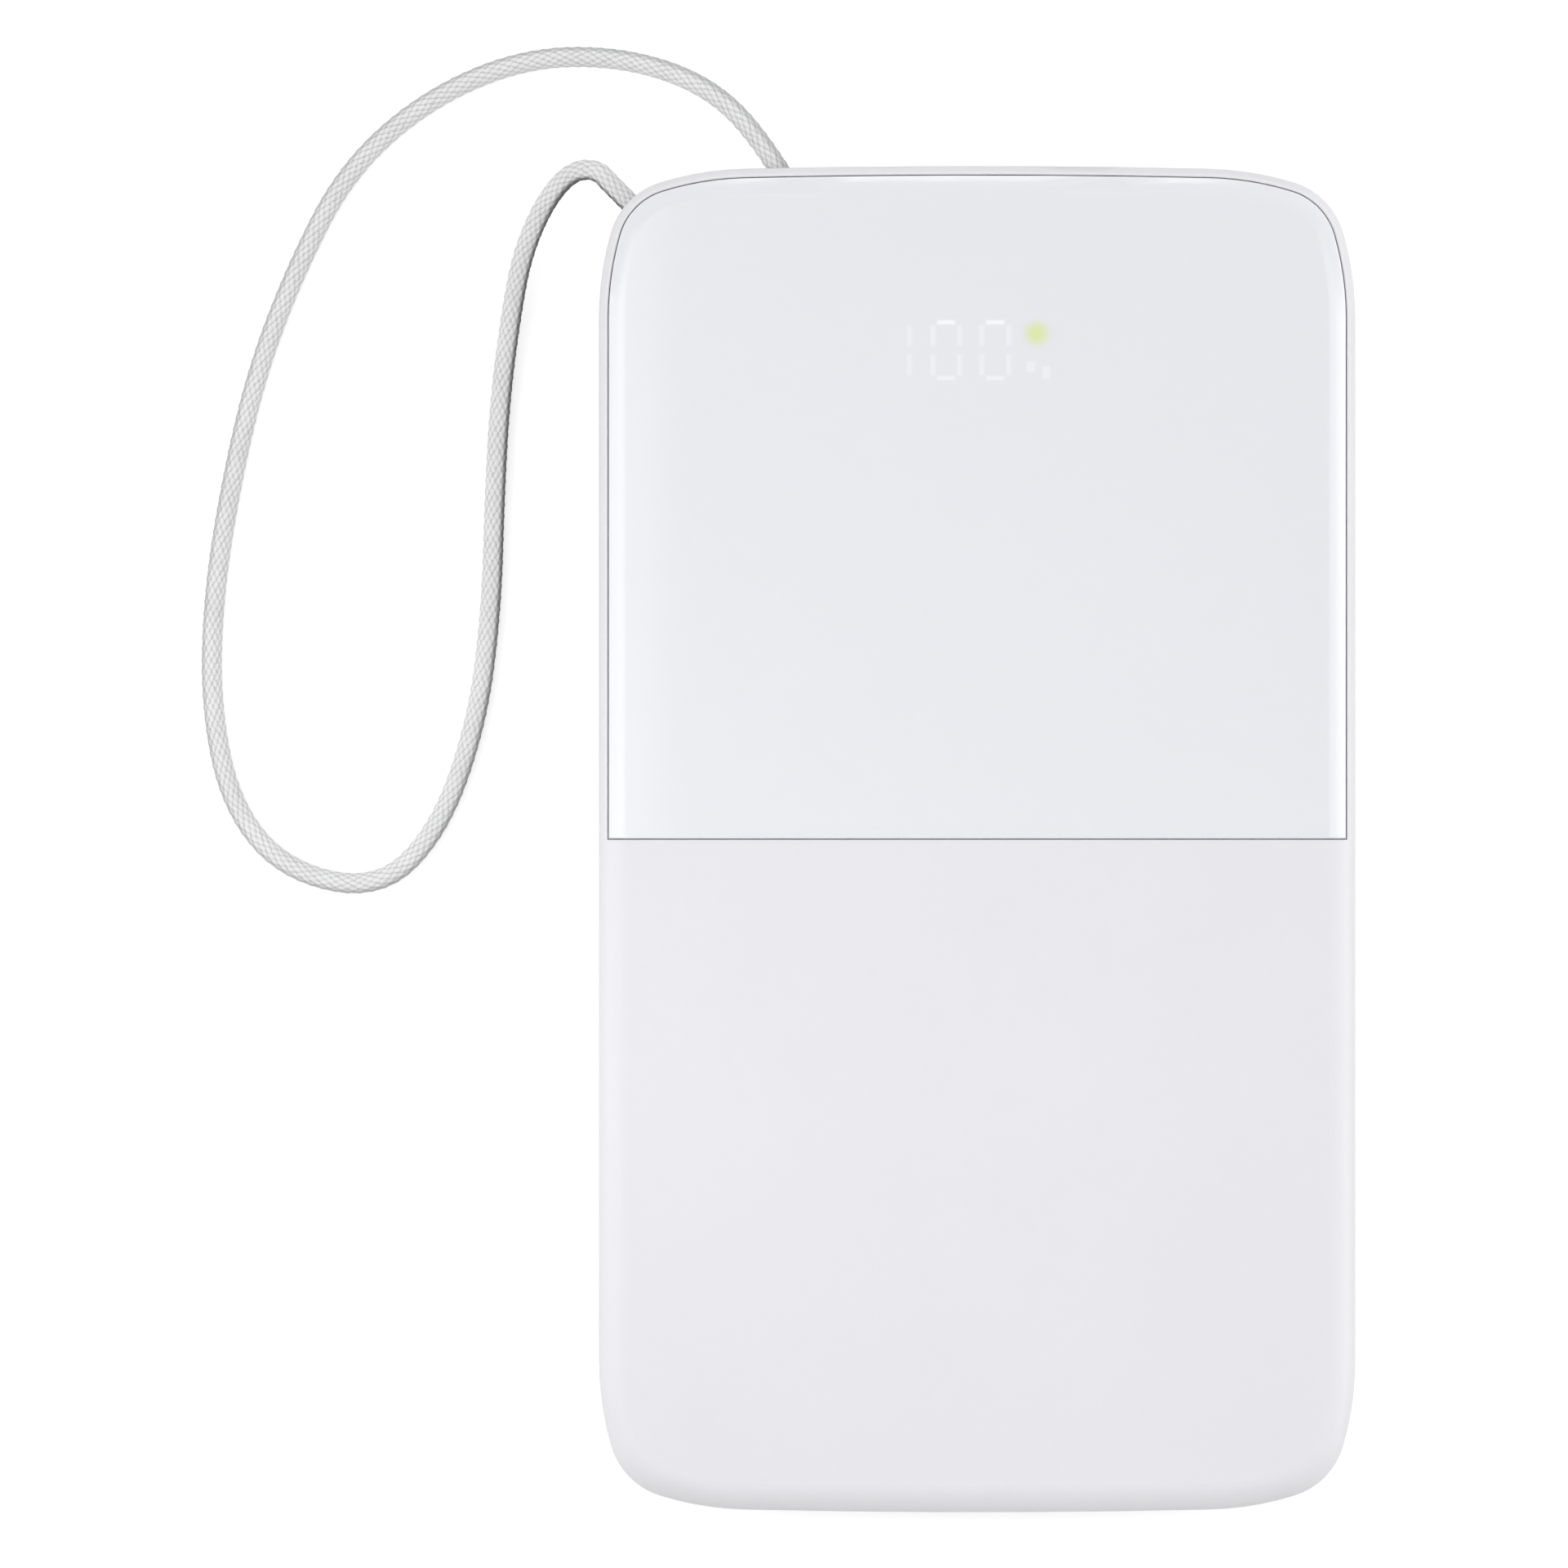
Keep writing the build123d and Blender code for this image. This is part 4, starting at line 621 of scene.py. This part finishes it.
nickel = metal("nickel_plated_sheet", (0.66, 0.65, 0.63, 1), roughness=0.28)
dress(nickel, "usb_a_shell", "usb_c_shell")
dress(moulded("white_nylon", (0.78, 0.78, 0.76, 1), roughness=0.4), "usb_a_tongue")
black_nylon = moulded("black_nylon", (0.018, 0.018, 0.019, 1), roughness=0.45, mottle=0.2)
dress(black_nylon, "usb_c_tongue")
gold = metal("gold_plate", (0.86, 0.62, 0.25, 1), roughness=0.22)
dress(gold, "usb_a_contacts", "usb_c_contacts")

# ---- Lanyard cups ----------------------------------------------------------------------------------
# Two crimped aluminium cups on the cord's ends, trapped in cradles inside the corner.

aluminium = metal("crimped_aluminium", (0.70, 0.71, 0.72, 1), roughness=0.38)
dress(aluminium, "lanyard_ferrule_end", "lanyard_ferrule_corner")

# ---- Display ---------------------------------------------------------------------------------------
# A white reflector block with cast resin bars in its wells and a green lamp. It stands on two rows of
# tinned pins, with a black foam frame pressed against the panel.

dress(moulded("reflector_white", (0.80, 0.80, 0.80, 1), roughness=0.55), "display_body")
resin_bars = moulded("cast_resin_bars", (0.78, 0.82, 0.86, 1), roughness=0.18, mottle=0.05)
dress(resin_bars, "display_segments")
resin_lamp = moulded("tinted_resin_lamp", (0.52, 0.68, 0.12, 1), roughness=0.15, mottle=0.05)
dress(resin_lamp, "charging_light")
tinned = metal("tinned_pins", (0.70, 0.70, 0.70, 1), roughness=0.35, streak=(3000, 3000, 400))
dress(tinned, "display_pins")
frame_foam = {"roughness": 0.9, "size": 0.0003, "depth": 0.00006, "mottle": 0.5}
dress(moulded("black_foam", (0.014, 0.014, 0.014, 1), **frame_foam), "display_gasket")

# ---- Switch ----------------------------------------------------------------------------------------
# A right-angle tact switch behind the key: a black moulded body, its plunger, and a snap dome of thin
# spring steel. The dome's rim is fixed in the body, and the plunger flattens it.

switch_black = moulded("switch_black_pbt", (0.020, 0.020, 0.021, 1), roughness=0.5, mottle=0.2)
dress(switch_black, "switch_body")
plunger_black = moulded("plunger_black", (0.028, 0.028, 0.030, 1), roughness=0.4, mottle=0.2)
dress(plunger_black, "switch_plunger")
dress(metal("spring_steel", (0.60, 0.60, 0.61, 1), roughness=0.2), "switch_dome")
snap_dome = bpy.data.objects.new("snap_dome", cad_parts["switch_dome"].data.copy())
bpy.context.scene.collection.objects.link(snap_dome)
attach(snap_dome, "case")
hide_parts("switch_dome")
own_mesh(snap_dome)

# ---- Board -----------------------------------------------------------------------------------------
# Glass laminate under green solder mask, with the converter's choke, chips and capacitors on it. Two
# screws hold it to the back shell, and two more hold the shells together.

MASK_GREEN = (0.012, 0.095, 0.042, 1)
TRACK_GREEN = (0.03, 0.17, 0.075, 1)
TRACK_CELLS = 260.0
TRACK_WIDTH = 0.03


def solder_mask():
    """Green mask over copper, whose tracks show as slightly lighter lines."""
    material = moulded("green_solder_mask", MASK_GREEN, roughness=0.3, mottle=0.1)
    tree = material.node_tree
    shader = tree.nodes["Principled BSDF"]
    place = new_node(tree, "ShaderNodeTexCoord").outputs["Object"]
    grid = {"Vector": place, "Scale": TRACK_CELLS, "Mortar Size": TRACK_WIDTH}
    tracks = new_node(tree, "ShaderNodeTexBrick", grid).outputs["Fac"]
    base = shader.inputs["Base Color"].links[0].from_socket
    tree.links.new(mixed(tree, tracks, base, TRACK_GREEN), shader.inputs["Base Color"])
    return material


dress(solder_mask(), "main_board")
pressed = {"roughness": 0.7, "size": 0.0002, "depth": 0.00002, "mottle": 0.3}
dress(moulded("pressed_ferrite", (0.035, 0.035, 0.037, 1), **pressed), "power_inductor")
epoxy = moulded("chip_epoxy", (0.012, 0.012, 0.013, 1), roughness=0.55, mottle=0.3)
dress(epoxy, "charge_controller", "power_mosfets")
can = metal("drawn_can", (0.72, 0.73, 0.74, 1), roughness=0.3, streak=(3000, 3000, 300))
dress(can, "bulk_capacitors")
ceramic = moulded("fired_ceramic", (0.32, 0.21, 0.11, 1), roughness=0.6, mottle=0.15)
dress(ceramic, "ceramic_capacitors")
glaze = moulded("glazed_resistor", (0.015, 0.015, 0.018, 1), roughness=0.35, mottle=0.2)
dress(glaze, "chip_resistors")
dress(moulded("dipped_bead", (0.03, 0.022, 0.018, 1), roughness=0.25, mottle=0.2), "thermistor")
zinc = metal("zinc_plated_steel", (0.52, 0.52, 0.53, 1), roughness=0.35)
dress(zinc, "case_screws", "board_screws")

# ---- Cell ------------------------------------------------------------------------------------------
# A lithium pouch cell in laminated aluminium film, with nickel tabs, amber tape on its sealed ledge and
# foam pads in front and behind.

film = {"roughness": 0.42, "spread": 0.3, "streak": (300, 2500, 300)}
dress(metal("pouch_film", (0.55, 0.56, 0.58, 1), **film), "battery_cell")
nickel_strip = metal("nickel_strip", (0.62, 0.60, 0.55, 1), roughness=0.3)
dress(nickel_strip, "cell_tab_positive", "cell_tab_negative")
dress(moulded("polyimide_tape", (0.45, 0.17, 0.02, 1), roughness=0.2, mottle=0.1), "terrace_tape")
pad = {"roughness": 0.9, "size": 0.0004, "depth": 0.00008, "mottle": 0.5}
dress(moulded("grey_foam", (0.05, 0.05, 0.052, 1), **pad), "cell_back_foam", "cell_front_foam")

# ---- Floor and light -------------------------------------------------------------------------------
# A plain pale table in a white surround that is dimmer towards the bank's near end. Soft boxes stand on
# both sides and beyond the far end, and a thin one hangs close to the left edge.

FLOOR_HALF = 2.0
FLOOR_WHITE = (0.80, 0.80, 0.80, 1)
FLOOR_ROUGHNESS = 0.9
FLOOR_LIFT = 0.42  # what it adds of its own where it is seen directly, as an overlit table does
FLOOR_BOUNCE = (0.78, 0.78, 0.78, 1)
SKY_FROM, SKY_TO = -0.9, -0.1  # in Y, as a direction
SKY_NEAR, SKY_FAR = 0.60, 0.835
AIM = (0, 0.03, 0.01)
LOW_AIM = (0, 0, 0.01)
# each box's name, place, the point that it faces, width, height and radiance
SOFT_BOXES = [
    ("near_left_box", (-0.075, -0.02, 0.070), (-0.03, -0.02, 0.016), 0.015, 0.40, 1.2),
    ("left_box", (-1.0, 0.03, 0.55), AIM, 0.16, 0.60, 2.4),
    ("high_left_box", (-0.75, 0.03, 1.15), AIM, 0.26, 0.70, 2.8),
    ("top_left_box", (-0.28, 0.03, 1.42), AIM, 0.26, 0.40, 1.5),
    ("right_box", (1.0, 0.03, 0.55), AIM, 0.16, 0.60, 3.0),
    ("low_left_box", (-1.0, 0.0, 0.12), LOW_AIM, 0.60, 0.20, 0.9),
    ("low_right_box", (1.0, 0.0, 0.12), LOW_AIM, 0.60, 0.20, 4.0),
    ("high_right_box", (0.75, 0.03, 1.15), AIM, 0.26, 0.70, 1.4),
    ("far_box", (0.0, 1.1, 0.50), AIM, 0.16, 0.50, 2.6),
]


def soft_box(name, place, aim, width, height, radiance):
    """A soft area light at a place, turned to face a point, of a given brightness."""
    light = bpy.data.lights.new(name, "AREA")
    light.shape = "RECTANGLE"
    light.size = width
    light.size_y = height
    light.energy = radiance * pi * width * height
    box = bpy.data.objects.new(name, light)
    box.location = place
    way = Vector(aim) - Vector(place)
    box.rotation_euler = way.to_track_quat("-Z", "Y").to_euler()
    box.visible_camera = False
    bpy.context.scene.collection.objects.link(box)


floor_mesh = bpy.data.meshes.new("floor")
corners = [(FLOOR_HALF * x, FLOOR_HALF * y, 0) for x, y in ((-1, -1), (1, -1), (1, 1), (-1, 1))]
floor_mesh.from_pydata(corners, [], [(0, 1, 2, 3)])
floor = bpy.data.objects.new("floor", floor_mesh)
bpy.context.scene.collection.objects.link(floor)
floor_paint = bpy.data.materials.new("floor_paint")
floor_paint.use_nodes = True
floor_tree = floor_paint.node_tree
floor_shader = floor_tree.nodes["Principled BSDF"]
floor_shader.inputs["Base Color"].default_value = FLOOR_WHITE
floor_shader.inputs["Roughness"].default_value = FLOOR_ROUGHNESS
floor_shader.inputs["Emission Color"].default_value = (1, 1, 1, 1)
floor_shader.inputs["Emission Strength"].default_value = FLOOR_LIFT
bounce = new_node(floor_tree, "ShaderNodeBsdfDiffuse", {"Color": FLOOR_BOUNCE}).outputs["BSDF"]
seen = new_node(floor_tree, "ShaderNodeLightPath").outputs["Is Camera Ray"]
either = {0: seen, 1: bounce, 2: floor_shader.outputs["BSDF"]}
floor_mix = new_node(floor_tree, "ShaderNodeMixShader", either).outputs["Shader"]
floor_tree.links.new(floor_mix, floor_tree.nodes["Material Output"].inputs["Surface"])
floor_mesh.materials.append(floor_paint)

world = bpy.data.worlds.new("studio")
world.use_nodes = True
sky = world.node_tree
way = new_node(sky, "ShaderNodeTexCoord").outputs["Generated"]
toward = new_node(sky, "ShaderNodeSeparateXYZ", {"Vector": way}).outputs["Y"]
strength = eased(sky, toward, SKY_FROM, SKY_TO, SKY_NEAR, SKY_FAR)
sky.links.new(strength, sky.nodes["Background"].inputs["Strength"])
sky.nodes["Background"].inputs["Color"].default_value = (1.0, 1.0, 1.0, 1)
bpy.context.scene.world = world

for name, place, aim, width, height, radiance in SOFT_BOXES:
    soft_box(name, place, aim, width, height, radiance)
